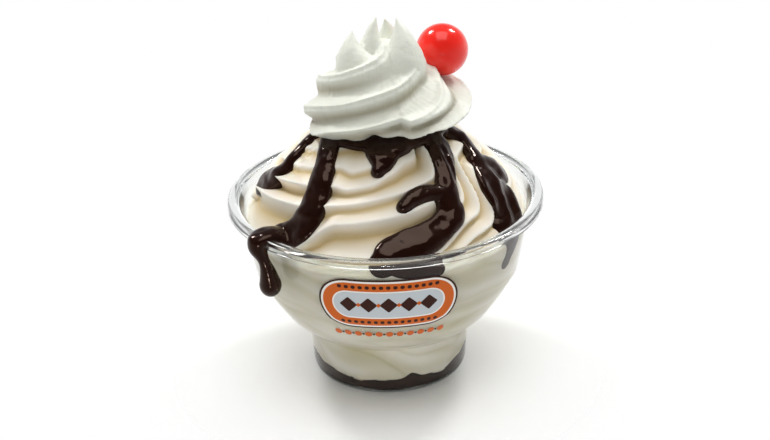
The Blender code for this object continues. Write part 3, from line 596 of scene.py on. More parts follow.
def turning_tree():
    """Turns an outline round Z: its mesh lies in XY, as distance from the axis and height."""
    tree, start, end = new_tree("Turned piece", [("Steps", "Int"), ("Sweep radius", "Float"),
                                                 ("Weld distance", "Float"), ("Finish", "Material")])
    outline = add_node(tree, "GeometryNodeMeshToCurve", {"Mesh": start.outputs["Geometry"]})
    inward = add_node(tree, "ShaderNodeMath", {
        0: start.outputs["Sweep radius"], 1: -1.0}, operation="MULTIPLY")
    shifted = add_node(tree, "ShaderNodeCombineXYZ", {"X": inward.outputs["Value"]})
    moved = add_node(tree, "GeometryNodeTransform", {
        "Geometry": outline.outputs["Curve"], "Translation": shifted.outputs["Vector"],
        "Scale": (1.0, -1.0, 1.0)})
    ring = add_node(tree, "GeometryNodeCurvePrimitiveCircle", {
        "Resolution": start.outputs["Steps"], "Radius": start.outputs["Sweep radius"]})
    upright = add_node(tree, "GeometryNodeSetCurveNormal", {"Curve": ring.outputs["Curve"]}, mode="Z_UP")
    skin = add_node(tree, "GeometryNodeCurveToMesh", {
        "Curve": upright.outputs["Curve"], "Profile Curve": moved.outputs["Geometry"]})
    welded = add_node(tree, "GeometryNodeMergeByDistance", {
        "Geometry": skin.outputs["Mesh"], "Distance": start.outputs["Weld distance"]})
    return end_tree(tree, start, end, welded.outputs["Geometry"])


def sweeping_tree():
    """Sweeps a round section along lines, with round ends, and presses its outer side flat.

    Each point of a line has a half_width, its own place as middle, and the way out of
    the surface under it as outward: no way out leaves the run round.
    """
    tree, start, end = new_tree("Poured run", [("Sides", "Int"), ("Thickness", "Float"),
                                               ("Finish", "Material")])
    line = add_node(tree, "GeometryNodeMeshToCurve", {"Mesh": start.outputs["Geometry"]})
    width = add_node(tree, "GeometryNodeInputNamedAttribute", {"Name": "half_width"}, data_type="FLOAT")
    ring = add_node(tree, "GeometryNodeCurvePrimitiveCircle", {
        "Resolution": start.outputs["Sides"], "Radius": 1.0})
    tube = add_node(tree, "GeometryNodeCurveToMesh", {
        "Curve": line.outputs["Curve"], "Profile Curve": ring.outputs["Curve"],
        "Scale": width.outputs["Attribute"], "Fill Caps": True})
    ends = add_node(tree, "GeometryNodeCurveEndpointSelection")
    ball = add_node(tree, "GeometryNodeMeshUVSphere", {
        "Segments": start.outputs["Sides"], "Rings": 14, "Radius": 1.0})
    size = add_node(tree, "ShaderNodeCombineXYZ", {
        "X": width.outputs["Attribute"], "Y": width.outputs["Attribute"], "Z": width.outputs["Attribute"]})
    balls = add_node(tree, "GeometryNodeInstanceOnPoints", {
        "Points": line.outputs["Curve"], "Selection": ends.outputs["Selection"],
        "Instance": ball.outputs["Mesh"], "Scale": size.outputs["Vector"]})
    both = add_node(tree, "GeometryNodeJoinGeometry", {"Geometry": tube.outputs["Mesh"]})
    tree.links.new(balls.outputs["Instances"], both.inputs["Geometry"])
    real = add_node(tree, "GeometryNodeRealizeInstances", {"Geometry": both.outputs["Geometry"]})
    middle = add_node(tree, "GeometryNodeInputNamedAttribute", {"Name": "middle"}, data_type="FLOAT_VECTOR")
    outward = add_node(tree, "GeometryNodeInputNamedAttribute", {"Name": "outward"}, data_type="FLOAT_VECTOR")
    place = add_node(tree, "GeometryNodeInputPosition")
    away = add_node(tree, "ShaderNodeVectorMath", {
        0: place.outputs["Position"], 1: middle.outputs["Attribute"]}, operation="SUBTRACT")
    rise = add_node(tree, "ShaderNodeVectorMath", {
        0: away.outputs["Vector"], 1: outward.outputs["Attribute"]}, operation="DOT_PRODUCT")
    above = add_node(tree, "ShaderNodeMath", {0: rise.outputs["Value"], 1: 0.0}, operation="MAXIMUM")
    share = add_node(tree, "ShaderNodeMath", {
        0: start.outputs["Thickness"], 1: width.outputs["Attribute"]}, operation="DIVIDE")
    kept = add_node(tree, "ShaderNodeMath", {0: share.outputs["Value"], 1: 1.0}, operation="MINIMUM")
    less = add_node(tree, "ShaderNodeMath", {0: kept.outputs["Value"], 1: 1.0}, operation="SUBTRACT")
    back = add_node(tree, "ShaderNodeMath", {
        0: above.outputs["Value"], 1: less.outputs["Value"]}, operation="MULTIPLY")
    shift = add_node(tree, "ShaderNodeVectorMath", {
        0: outward.outputs["Attribute"], "Scale": back.outputs["Value"]}, operation="SCALE")
    pressed = add_node(tree, "GeometryNodeSetPosition", {
        "Geometry": real.outputs["Geometry"], "Offset": shift.outputs["Vector"]})
    return end_tree(tree, start, end, pressed.outputs["Geometry"])


def row_tree():
    """Marks with round corners at even steps along X, centred on the origin."""
    tree, start, end = new_tree("Printed row", [("Count", "Int"), ("Step", "Float"), ("Mark side", "Float"),
                                                ("Corner", "Float"), ("Turn", "Float"),
                                                ("Finish", "Material")])
    offset = add_node(tree, "ShaderNodeCombineXYZ", {"X": start.outputs["Step"]})
    span = add_node(tree, "ShaderNodeMath", {0: start.outputs["Count"], 1: 1.0}, operation="SUBTRACT")
    half = add_node(tree, "ShaderNodeMath", {0: span.outputs["Value"], 1: -0.5}, operation="MULTIPLY")
    left = add_node(tree, "ShaderNodeMath", {
        0: half.outputs["Value"], 1: start.outputs["Step"]}, operation="MULTIPLY")
    first = add_node(tree, "ShaderNodeCombineXYZ", {"X": left.outputs["Value"]})
    places = add_node(tree, "GeometryNodeMeshLine", {
        "Count": start.outputs["Count"], "Start Location": first.outputs["Vector"],
        "Offset": offset.outputs["Vector"]}, mode="OFFSET")
    outline = add_node(tree, "GeometryNodeCurvePrimitiveQuadrilateral", {
        "Width": start.outputs["Mark side"], "Height": start.outputs["Mark side"]})
    rounded = add_node(tree, "GeometryNodeFilletCurve", {
        "Curve": outline.outputs["Curve"], "Radius": start.outputs["Corner"],
        "Limit Radius": True}, mode="POLY")
    rounded.inputs["Count"].default_value = 6
    mark = add_node(tree, "GeometryNodeFillCurve", {"Curve": rounded.outputs["Curve"]}, mode="NGONS")
    turn = add_node(tree, "ShaderNodeCombineXYZ", {"Z": start.outputs["Turn"]})
    marks = add_node(tree, "GeometryNodeInstanceOnPoints", {
        "Points": places.outputs["Mesh"], "Instance": mark.outputs["Mesh"],
        "Rotation": turn.outputs["Vector"]})
    return end_tree(tree, start, end, marks.outputs["Instances"])


def grown_by(tree, scene_object, name, **inputs):
    """Runs a tree on an object and keeps the result as a plain mesh object."""
    modifier = scene_object.modifiers.new(tree.name, "NODES")
    modifier.node_group = tree
    for item in tree.interface.items_tree:
        key = item.name.lower().replace(" ", "_")
        if item.in_out == "INPUT" and key in inputs:
            modifier[item.identifier] = inputs[key]
    return baked(scene_object, name)


def turned(name, profile, steps, finish):
    """A turned piece from a profile of (radius, height) points."""
    mesh = bpy.data.meshes.new(name + "_outline")
    edges = [(index, index + 1) for index in range(len(profile) - 1)]
    mesh.from_pydata([(radius, height, 0.0) for radius, height in profile], edges, [])
    piece = grown_by(TURNING, new_object(name + "_outline", mesh), name, steps=steps,
                     sweep_radius=SWEEP_RADIUS, weld_distance=0.000004, finish=finish)
    face_outward(piece.data)
    return piece


def swept(name, lines, finish):
    """Runs along lines of (point, half-width, way out of the surface), in metres."""
    points, widths, outward = (np.array(values, dtype=np.float32)
                               for values in zip(*[place for line in lines for place in line]))
    edges = []
    first = 0
    for line in lines:
        edges += [(index, index + 1) for index in range(first, first + len(line) - 1)]
        first += len(line)
    mesh = bpy.data.meshes.new(name + "_lines")
    mesh.from_pydata(points.tolist(), edges, [])
    mesh.attributes.new("half_width", "FLOAT", "POINT").data.foreach_set("value", widths)
    mesh.attributes.new("middle", "FLOAT_VECTOR", "POINT").data.foreach_set("vector", points.ravel())
    mesh.attributes.new("outward", "FLOAT_VECTOR", "POINT").data.foreach_set("vector", outward.ravel())
    piece = grown_by(SWEEPING, new_object(name + "_lines", mesh), name, sides=RUN_SIDES,
                     thickness=FUDGE_THICKNESS, finish=finish)
    face_outward(piece.data)
    return piece


def wave(phase, hold, valley):
    """Depth below a crest, from 0 to 1: phase 0 is the crest, and it grows downwards.

    The crest's face holds its depth to one phase and ends in the valley at another.
    """
    fall = np.sin(np.clip((phase - hold) / (valley - hold), 0.0, 1.0) * math.pi / 2)
    rise = np.clip((1.0 - phase) / (1.0 - valley), 0.0, 1.0) ** 1.15
    return np.where(phase < valley, fall, rise)


def overhang(phase, valley):
    """How far the crest leans down over the valley under it, from 0 to 1."""
    under = np.clip(1.0 - phase / (valley * 0.8), 0.0, 1.0)
    above = smoothstep((phase - 0.55) / 0.45)
    return np.maximum(under, above)


# Forms of the cup and the mound

def cup_inner_profile(offset=0.0):
    """Inner wall from the floor to the throat, as (height, radius), moved in by offset."""
    wall = CUP_WALL + offset
    outer = CUP_OUTER[1:]
    floor = FOOT_RECESS + CUP_FLOOR + offset
    result = [(floor, outer[0][1] - wall)]
    for before, here, after in zip(outer, outer[1:], outer[2:]):
        run = Vector((after[0] - before[0], after[1] - before[1])).normalized()
        result.append((here[0] + run.y * wall, here[1] - run.x * wall))
    result.append((THROAT_HEIGHT, THROAT_RADIUS - wall))
    return result


def cup_inner_radius(height, offset=0.0):
    heights, radii = zip(*cup_inner_profile(offset))
    return np.interp(height, heights, radii)


def mound_radius(height):
    """Radius in metres of the mound's outer form at a height in mm."""
    return smooth_table(MOUND_HEIGHTS, MOUND_RADII, height, MOUND_SMOOTHING) * MM


def mound_slope(height):
    step = SLOPE_STEP
    return (mound_radius(height + step) - mound_radius(height - step)) / MM / (2 * step)


def ridge_climb(turn, height):
    """How far a ridge has climbed at a turn in degrees, in mm."""
    whole = RIDGE_PITCH * RIDGE_STARTS
    steep_at = STEEP_TURN - STEEP_DRIFT * (height - STEEP_HEIGHT)
    steep = STEEP_CLIMB * smoothstep((turn - steep_at) / STEEP_WIDTH + 0.5)
    front = GENTLE_CLIMB * (np.minimum(turn, STEEP_TURN) - RIDGE_FIRST_TURN)
    reached = GENTLE_CLIMB * (STEEP_TURN - RIDGE_FIRST_TURN) + STEEP_CLIMB
    start = GENTLE_CLIMB * (-180 - RIDGE_FIRST_TURN)
    back_rate = (start + whole - reached) / (180 - STEEP_TURN)
    back = back_rate * np.maximum(turn - STEEP_TURN, 0.0)
    return front + steep + back


def zone(name, turn):
    """How far a turn in degrees lies in one of the mound's zones, from 0 to 1."""
    start, rise, end, fall = RIDGE_ZONES[name]
    return smoothstep((turn - start) / rise) * smoothstep((end - turn) / fall)


def ridge_ladder(turn):
    """Heights of the crest lines above the climb, in mm, and each one's share of the depth."""
    rungs = []
    shares = []
    for index in range(RIDGE_FIRST, RIDGE_LAST + 1):
        rung = np.full(np.shape(turn), RIDGE_PITCH * index)
        for first, last, name, shift in RIDGE_SHIFTS:
            if first <= index <= last:
                rung = rung + shift * zone(name, turn)
        rungs.append(rung)
        shares.append(1.0 + (RIDGE_SHARES.get(index, 1.0) - 1.0) * zone("shaped", turn))
    return np.array(rungs), np.array(shares)


def ridge_phase(turn, height):
    """Phase below the next crest up, 0 to 1, and the depth of the valley there in mm."""
    level = height - RIDGE_FIRST_HEIGHT - ridge_climb(turn, height)
    rungs, shares = ridge_ladder(turn)
    above = np.clip(np.sum(rungs < level, axis=0), 1, len(rungs) - 1)
    columns = np.arange(len(turn))
    top = rungs[above, columns]
    bottom = rungs[above - 1, columns]
    gap = np.maximum(top - bottom, 0.5)
    depth = RIDGE_DEPTH * np.minimum(gap, RIDGE_WIDEST) * shares[above, columns]
    return np.clip((top - level) / gap, 0.0, 1.0), depth


def pocket(turn, height):
    """How far the mound stands back from the wall, in mm."""
    away = np.abs(turn_between(turn, POCKET_TURN))
    along = smoothstep((POCKET_HALF_TURN - away) / POCKET_SIDE_FADE)
    upright = smoothstep((height - POCKET_BOTTOM) / POCKET_BOTTOM_FADE)
    upright = upright * smoothstep((POCKET_TOP - height) / POCKET_TOP_FADE)
    return POCKET_DEPTH * along * upright


def ridge_relief(turn, height, radius):
    """How deep the ridges cut in and how far they lean, in metres, and the share of the depth, which also
    sets the painted shade in the valleys.
    """
    phase, depth = ridge_phase(turn, height)
    fade = smoothstep((height - RIDGE_BOTTOM) / RIDGE_BOTTOM_FADE)
    fade = fade * smoothstep((radius / MM - RIDGE_CENTRE) / RIDGE_CENTRE_FADE)
    share = wave(phase, RIDGE_HOLD, RIDGE_VALLEY) * fade
    lean = RIDGE_OVERHANG * overhang(phase, RIDGE_VALLEY) * fade
    paddle = zone("paddles", turn) * smoothstep((height - PADDLE_BOTTOM) / PADDLE_FADE)
    paddle = paddle * smoothstep((PADDLE_TOP - height) / PADDLE_FADE) * (1.0 - share) ** 2
    return (depth * share - PADDLE_REACH * paddle) * MM, lean * MM, share


def polar(points):
    return np.hypot(points[:, 0], points[:, 1]), np.degrees(np.arctan2(points[:, 1], points[:, 0]))


def set_polar(points, radius, new_radius):
    """Moves points along their radius from the axis."""
    scale = np.divide(new_radius, radius, out=np.ones_like(radius), where=radius > 1e-7)
    points[:, 0] *= scale
    points[:, 1] *= scale


# Pieces

def make_cup(finish):
    inner = cup_inner_profile()
    profile = [(0.0, inner[0][0])]
    profile += [(radius, height) for height, radius in inner]
    profile += [(THROAT_RADIUS + out * MM, CUP_HEIGHT - down * MM) for out, down in LIP_PROFILE]
    profile += [(RIM_RADIUS - back * MM, CUP_HEIGHT - down * MM) for back, down in RIM_PROFILE]
    profile += [(THROAT_RADIUS + UNDER_RIM[0] * MM, CUP_HEIGHT - UNDER_RIM[1] * MM)]
    profile += [(radius, height) for height, radius in reversed(CUP_OUTER)]
    ring = FOOT_RADIUS - FOOT_RING_WIDTH
    profile += [(ring, 0.0), (ring - FOOT_RING_SLOPE, FOOT_RECESS), (0.0, FOOT_RECESS)]
    cup = turned("clear_cup", profile, CUP_STEPS, finish)
    finish_piece(cup, finish, CUP_SHARP_ANGLE)
    return cup


def foot_fudge_level(turn):
    """Height of the foot fudge's top at a turn in degrees."""
    first, second = FOOT_FUDGE_WAVES
    ripple = np.sin(np.radians(turn * first)) * np.cos(np.radians(turn * second + FOOT_FUDGE_WAVE_TURN))
    return FOOT_FUDGE_LEVEL + swells_round(turn, FOOT_FUDGE_SWELLS) * MM + FOOT_FUDGE_RIPPLE * ripple


def sway_to_fudge(points, base_height, reach):
    """Moves the rows near base_height to follow the foot fudge's top."""
    radius, turn = polar(points)
    share = smoothstep(radius / FOOT_RADIUS)
    change = (foot_fudge_level(turn) - FOOT_FUDGE_LEVEL) * share
    points[:, 2] += change * smoothstep(1.0 - np.abs(points[:, 2] - base_height) / reach)


def make_foot_fudge(finish):
    floor = FOOT_RECESS + CUP_FLOOR - PRESS
    top = FOOT_FUDGE_LEVEL
    top_radius = float(cup_inner_radius(top, -PRESS))
    floor_radius = float(cup_inner_radius(floor, -PRESS))
    profile = even_points([(0.0, top), (top_radius, top)], FOOT_FUDGE_ROW)
    profile += even_points([(top_radius, top), (floor_radius, floor)], FOOT_FUDGE_WALL_ROW)[1:]
    profile += [(0.0, floor)]
    fudge = turned("foot_fudge", profile, CUP_STEPS, finish)
    points = get_points(fudge.data)
    sway_to_fudge(points, top, FOOT_FUDGE_REACH)
    set_points(fudge.data, points)
    finish_piece(fudge, finish, FOOT_FUDGE_SHARP_ANGLE)
    return fudge


def painted_wall_fold_shade(points):
    """Painted shade, from 0 to 1, of the folds of the mound where it is pressed against the wall: dark bands
    and thin dark lines.
    """
    _, turn = polar(points)
    height = points[:, 2] / MM
    climb = (height + FOLD_SLANT * turn + uneven(points, FOLD_BEND)) / FOLD_PITCH
    ways = np.stack([np.cos(np.radians(turn)) * FOLD_WAVES, np.sin(np.radians(turn)) * FOLD_WAVES, climb],
                    axis=1)
    bands = np.clip(FOLD_BAND_LEVEL + FOLD_BAND_GAIN * rough(ways * MM, 1.0, FOLD_SEEDS[0]), 0.0, 1.0)
    lines = np.abs(rough(ways * MM * FOLD_LINE_STRETCH, 1.0, FOLD_SEEDS[1]))
    lines = np.clip(1.0 - FOLD_LINE_SHARPNESS * lines, 0.0, 1.0)
    dark = bands * FOLD_BAND_SHARE + lines * FOLD_LINE_SHARE
    return np.clip(dark, 0.0, 1.0) * smoothstep((FOLD_TOP - height) / FOLD_TOP_FADE)


def make_mound(finish):
    heights = np.linspace(MOUND_HEIGHTS[-1], MOUND_WALL_TOP, MOUND_OUTLINE_STEPS)
    outline = []
    for height in heights:
        wall = float(cup_inner_radius(height * MM, -PRESS))
        outline.append((min(float(mound_radius(height)), wall), height * MM))
    outline[0] = (0.0, outline[0][1])
    bottom = FOOT_FUDGE_LEVEL - MOUND_SINK
    walls = [(radius, height) for height, radius in reversed(cup_inner_profile(-PRESS))
             if bottom + 1.5 * MM < height < MOUND_WALL_TOP * MM]
    wall_bottom = float(cup_inner_radius(bottom, -PRESS))
    profile = even_points(outline, MOUND_ROW)
    profile += even_points([outline[-1]] + walls + [(wall_bottom, bottom)], MOUND_WALL_ROW)[1:]
    profile += even_points([(wall_bottom, bottom), (0.0, bottom)], MOUND_FLOOR_ROW)[1:]
    mound = turned("soft_serve_mound", profile, MOUND_STEPS, finish)
    points = get_points(mound.data)
    radius, turn = polar(points)
    height = points[:, 2] / MM
    slope = mound_slope(height)
    length = np.sqrt(1.0 + slope ** 2)
    out = 1.0 / length
    up = -slope / length
    deep, lean, painted_valley_shade = ridge_relief(turn, height + uneven(points, MOUND_WANDER), radius)
    torn = smoothstep((TORN_TURN - turn) / TORN_SIDE_FADE)
    torn = torn * smoothstep((height - TORN_BOTTOM) / TORN_BOTTOM_FADE)
    torn = torn * smoothstep((TORN_TOP - height) / TORN_TOP_FADE)
    skin = (uneven(points, MOUND_SKIN) + torn * uneven(points, TORN_SKIN)) * MM
    new_radius = radius - (deep - skin) * out + lean * up - pocket(turn, height) * MM
    new_height = points[:, 2] - (deep - skin) * up - lean * out
    limit = cup_inner_radius(new_height, -PRESS)
    inside = new_height < CUP_HEIGHT + 1.0 * MM
    new_radius = np.where(inside, np.minimum(new_radius, limit), new_radius)
    set_polar(points, radius, new_radius)
    points[:, 2] = new_height
    sway_to_fudge(points, bottom, MOUND_FOOT_REACH)
    set_points(mound.data, points)
    # Painted shade in the ridges' valleys, kept in the mesh for the material
    add_value(mound.data, "painted_valley_shade", painted_valley_shade ** MOUND_SHADE_POWER)
    # Painted shade of the folds against the wall, kept in the mesh for the material
    add_value(mound.data, "fold", painted_wall_fold_shade(points))
    finish_piece(mound, finish)
    return mound


def on_mound(turn, height, width):
    """A place on a run over the mound's form: its point, half-width and the way out."""
    slope = float(mound_slope(height))
    length = math.sqrt(1.0 + slope ** 2)
    radius = float(mound_radius(height) - pocket(turn, height) * MM)
    return at_turn(turn, radius, height * MM), width * MM, at_turn(turn, 1.0 / length, -slope / length)


def in_wall(turn, height, width):
    """A place on a streak behind the cup's wall."""
    radius = float(cup_inner_radius(height * MM)) - STREAK_SINK * width * MM
    return at_turn(turn, radius, height * MM), width * MM, NO_SIDE


def drape(points):
    """Lets the fudge on the mound sag into the ridges under it."""
    radius, turn = polar(points)
    height = points[:, 2] / MM
    slope = mound_slope(height)
    length = np.sqrt(1.0 + slope ** 2)
    depths = [ridge_relief(turn, height + shift, radius)[0] for shift in FUDGE_DRAPE_REACH]
    sag = FUDGE_DRAPE * np.mean(depths, axis=0)
    set_polar(points, radius, radius - sag / length)
    points[:, 2] += sag * slope / length


def hold_in_cup(points, reach):
    """Keeps points below the rim inside the wall, as far as reach into it."""
    radius, _ = polar(points)
    limit = cup_inner_radius(points[:, 2], -reach)
    below = points[:, 2] < THROAT_HEIGHT + 1.5 * MM
    set_polar(points, radius, np.where(below, np.minimum(radius, limit), radius))


def make_poured_fudge(finish):
    lines = [[on_mound(*place) for place in spread(knots, RUN_STEPS)] for knots in FUDGE_RUNS.values()]
    lines += [[in_wall(*place) for place in spread(knots, RUN_STEPS)] for knots in WALL_STREAKS.values()]
    runs = swept("fudge_runs", lines, finish)
    points = get_points(runs.data)
    drape(points)
    hold_in_cup(points, STREAK_PRESS)
    set_points(runs.data, points)
    hanging = []
    for turn, radius, height, width in spread(RIM_RUN, RUN_STEPS):
        upward = float(smoothstep((height - RIM_RUN_ROUND) / (RIM_RUN_FLAT - RIM_RUN_ROUND)))
        hanging.append((at_turn(turn, radius * MM, height * MM), width * MM, (0.0, 0.0, upward)))
    rim_run = swept("fudge_rim_run", [hanging], finish)
    points = get_points(rim_run.data)
    tip = Vector(hanging[-1][0])
    low = points[:, 2] < tip.z
    points[low, 2] = tip.z + (points[low, 2] - tip.z) * DROP_STRETCH
    set_points(rim_run.data, points)
    pool_outline = [(POOL_RADIUS * math.sin(step), POOL_HEIGHT + POOL_RISE * math.cos(step))
                    for step in np.linspace(0.0, math.pi, POOL_OUTLINE_STEPS)]
    pool = turned("fudge_pool", pool_outline, POOL_STEPS, finish)
    fudge = joined([runs, rim_run, pool], "poured_fudge")
    fudge = fused(fudge, FUDGE_VOXEL, *FUDGE_SOFTENING, "poured_fudge")
    points = get_points(fudge.data)
    swell = uneven(points, FUDGE_SWELLS) * MM
    swell = swell * smoothstep((points[:, 2] / MM - FUDGE_SWELLS_BOTTOM) / FUDGE_SWELLS_FADE)
    set_points(fudge.data, points + get_normals(fudge.data) * swell[:, None])
    finish_piece(fudge, finish)
    return fudge


def cream_radius(height):
    return smooth_table(CREAM_HEIGHTS, CREAM_RADII, height, CREAM_SMOOTHING) * MM


def flute_phase(turn, height):
    whole = FLUTE_PITCH * FLUTE_STARTS
    climb = (turn - FLUTE_FIRST_TURN) * whole / 360.0
    return (-(height - FLUTE_FIRST_HEIGHT - climb) / FLUTE_PITCH) % 1.0


def ruffle(turn, height):
    """How far the lowest turn stands out, in mm."""
    along = smoothstep((turn - RUFFLE_START) / RUFFLE_START_WIDTH)
    along = along * smoothstep((RUFFLE_END - turn) / RUFFLE_END_WIDTH)
    upright = smoothstep((height - RUFFLE_BOTTOM) / RUFFLE_FADE)
    upright = upright * smoothstep((RUFFLE_TOP - height) / RUFFLE_FADE)
    return RUFFLE_REACH * along * upright


def cream_lift(turn, height):
    """How far the front of the cream is lifted, in mm."""
    lift = CREAM_LIFT * np.cos(np.radians(turn - CREAM_LIFT_TURN))
    return lift * smoothstep((CREAM_LIFT_TOP - height) / CREAM_LIFT_TOP_FADE)


def carve_cream(points):
    """Cuts the twisted flutes into the dome and lifts its lower edge at the front."""
    radius, turn = polar(points)
    height = points[:, 2] / MM
    step = SLOPE_STEP
    slope = (cream_radius(height + step) - cream_radius(height - step)) / MM / (2 * step)
    slope = np.clip(slope, -CREAM_STEEPEST, CREAM_STEEPEST)
    length = np.sqrt(1.0 + slope ** 2)
    phase = flute_phase(turn, height + uneven(points, CREAM_WANDER))
    fade = smoothstep((height - FLUTE_BOTTOM) / FLUTE_BOTTOM_FADE)
    fade = fade * smoothstep((radius / MM - FLUTE_CENTRE) / FLUTE_CENTRE_FADE)
    deep = FLUTE_DEPTH * FLUTE_PITCH * MM * wave(phase, FLUTE_HOLD, FLUTE_VALLEY) * fade
    along = np.stack([np.cos(np.radians(turn)) * WRINKLE_COUNT, np.sin(np.radians(turn)) * WRINKLE_COUNT,
                      height * WRINKLE_STRETCH], axis=1)
    deep = deep + WRINKLE_DEPTH * MM * rough(along * MM, 1.0, 53.0) * fade
    from_crest = np.minimum(phase, 1.0 - phase)
    deep = deep - LIP_RISE * MM * np.exp(-(from_crest / LIP_WIDTH) ** 2) * fade
    lean = FLUTE_OVERHANG * MM * overhang(phase, FLUTE_VALLEY) * fade
    new_radius = np.maximum(radius + ruffle(turn, height) * MM - deep / length, 0.1 * radius)
    new_height = points[:, 2] + deep * slope / length - lean / length
    lift = cream_lift(turn, height) * smoothstep((height - CREAM_LIFT_BOTTOM) / CREAM_LIFT_BOTTOM_FADE)
    notches = EDGE_LIFT * smoothstep((EDGE_LIFT_END - turn) / EDGE_LIFT_FADE)
    notches = notches * smoothstep((turn - EDGE_LIFT_START) / EDGE_LIFT_FADE)
    notches = notches + swells_round(turn, EDGE_NOTCHES)
    notches = notches * smoothstep((EDGE_TOP - height) / EDGE_TOP_FADE)
    set_polar(points, radius, new_radius)
    points[:, 2] = new_height + (lift + notches) * MM


def petal_line(root, tip, root_radius):
    """A petal that ends a flute at the crown: it bulges outwards and its tip leans in."""
    line = []
    for share in np.linspace(0.0, 1.0, PETAL_STEPS):
        bulge = PETAL_BULGE * 4.0 * share * (1.0 - share)
        point = Vector(root).lerp(Vector(tip), share) + Vector((root[0], root[1], 0.0)).normalized() * bulge
        body = (1.0 - share ** PETAL_FULLNESS) ** PETAL_TAPER
        line.append(((point * MM)[:], (root_radius * body + PETAL_TIP) * MM, NO_SIDE))
    return line


def make_cream(finish):
    heights = np.linspace(CREAM_HEIGHTS[-1], CREAM_HEIGHTS[0], CREAM_OUTLINE_STEPS)
    outline = [(float(cream_radius(height)), height * MM) for height in heights]
    outline[0] = (0.0, outline[0][1])
    outline[-1] = (0.0, outline[-1][1])
    dome = turned("cream_dome", even_points(outline, CREAM_ROW), CREAM_STEPS, finish)
    points = get_points(dome.data)
    carve_cream(points)
    set_points(dome.data, points + np.array(CREAM_CENTRE))
    peaks = swept("cream_peaks", [petal_line(*petal) for petal in CREAM_PEAKS], finish)
    cream = joined([dome, peaks], "whipped_cream_swirl")
    cream = fused(cream, CREAM_VOXEL, *CREAM_SOFTENING, "whipped_cream_swirl")
    points = get_points(cream.data)
    skin = uneven(points, CREAM_SKIN) * MM
    set_points(cream.data, points + get_normals(cream.data) * skin[:, None])
    # Painted shade in the flutes' valleys, kept in the mesh for the material
    _, turn = polar(points - np.array(CREAM_CENTRE))
    height = points[:, 2] / MM
    painted_valley_shade = wave(flute_phase(turn, height - cream_lift(turn, height)), FLUTE_HOLD, FLUTE_VALLEY)
    painted_valley_shade = painted_valley_shade * smoothstep((height - FLUTE_BOTTOM) / FLUTE_BOTTOM_FADE)
    painted_valley_shade = painted_valley_shade * smoothstep((SHADE_TOP - height) / SHADE_TOP_FADE)
    add_value(cream.data, "painted_valley_shade", painted_valley_shade ** CREAM_SHADE_POWER)
    finish_piece(cream, finish)
    return cream


def make_cherry(finish):
    """A pitted cherry: a ball with a small dimple where the stem was."""
    outline = []
    for step in np.linspace(0.0, math.pi, CHERRY_OUTLINE_STEPS):
        reach = CHERRY_RADIUS * (1.0 - DIMPLE_DEPTH * math.exp(-(step / DIMPLE_WIDTH) ** 2))
        outline.append((reach * math.sin(step), reach * math.cos(step)))
    cherry = turned("maraschino", outline, CHERRY_STEPS, finish)
    back, side = (math.radians(angle) for angle in CHERRY_LEAN)
    lean = Matrix.Rotation(back, 4, "X") @ Matrix.Rotation(side, 4, "Y")
    cherry.data.transform(Matrix.Translation(CHERRY_CENTRE) @ lean.inverted())
    finish_piece(cherry, finish)
    return cherry


# Print on the wall

def wrapped(piece, rise):
    """Lays a flat drawing in XY, in metres, on the front of the cup's outer wall."""
    heights, radii = zip(*CUP_OUTER)
    points = get_points(piece.data)
    height = points[:, 1]
    radius = np.interp(height, heights, radii) + rise
    angle = math.radians(PRINT_TURN) + points[:, 0] / PRINT_RADIUS
    points = np.stack([radius * np.cos(angle), radius * np.sin(angle), height], axis=1)
    set_points(piece.data, points)


def printed(piece, finish, layer):
    """Cuts a flat drawing into small squares and lays it on the wall, over the layers under it."""
    cut_up(piece.data, PRINT_STRIP)
    wrapped(piece, INK_RISE * (1 + INK_STEP * layer))
    face_outward(piece.data)
    finish_piece(piece, finish)
    return piece


def plaque(name, half_width, half_height, finish, layer):
    """A flat bar with round ends."""
    straight = half_width - half_height
    outline = []
    for side in (1, -1):
        for turn in np.linspace(-math.pi / 2, math.pi / 2, PLAQUE_STEPS):
            outline.append((side * (straight + half_height * math.cos(turn)) * MM,
                            (PRINT_HEIGHT + side * half_height * math.sin(turn)) * MM, 0.0))
    mesh = bpy.data.meshes.new(name)
    mesh.from_pydata(outline, [], [list(range(len(outline)))])
    return printed(new_object(name, mesh), finish, layer)


def row_of_marks(name, count, step, side, corner, turn, height, finish, layer):
    """A level row of square marks with round corners, each turned by so many degrees."""
    seed = new_object(name + "_start", bpy.data.meshes.new(name + "_start"))
    piece = grown_by(ROW, seed, name, count=count, step=step * MM, mark_side=side * MM,
                     corner=corner * MM, turn=math.radians(turn), finish=finish)
    points = get_points(piece.data)
    points[:, 1] += height * MM
    set_points(piece.data, points)
    return printed(piece, finish, layer)


def make_print():
    """A plaque with round ends that holds two rows of dots and a row of diamonds, over a row of dots."""
    inks = {colour: ink(name, code) for colour, (name, code) in INKS.items()}
    result = [plaque(name, half_width, half_height, inks[colour], layer)
              for layer, (name, half_width, half_height, colour) in enumerate(PLAQUE_LAYERS)]
    for *shape, colour, layer in MARK_ROWS:
        result.append(row_of_marks(*shape, inks[colour], layer))
    return result


# Materials

def principled(name, values):
    """A material with its node tree and shader, and the values on the shader's own sockets."""
    result = bpy.data.materials.new(name)
    result.use_nodes = True
    shader = result.node_tree.nodes["Principled BSDF"]
    for socket, value in values.items():
        shader.inputs[socket].default_value = value
    return result, result.node_tree, shader


def grained(tree, shader, size, detail, depth):
    """Fine relief, in mm, on the piece's own coordinates. Its height from 0 to 1 may shade the colour too."""
    place = add_node(tree, "ShaderNodeTexCoord")
    height = add_node(tree, "ShaderNodeTexNoise", {
        "Vector": place.outputs["Object"], "Scale": 1.0 / (size * MM), "Detail": detail})
    relief = add_node(tree, "ShaderNodeBump", {
        "Height": height.outputs["Fac"], "Distance": depth * MM, "Strength": 1.0})
    tree.links.new(relief.outputs["Normal"], shader.inputs["Normal"])
    return height.outputs["Fac"]


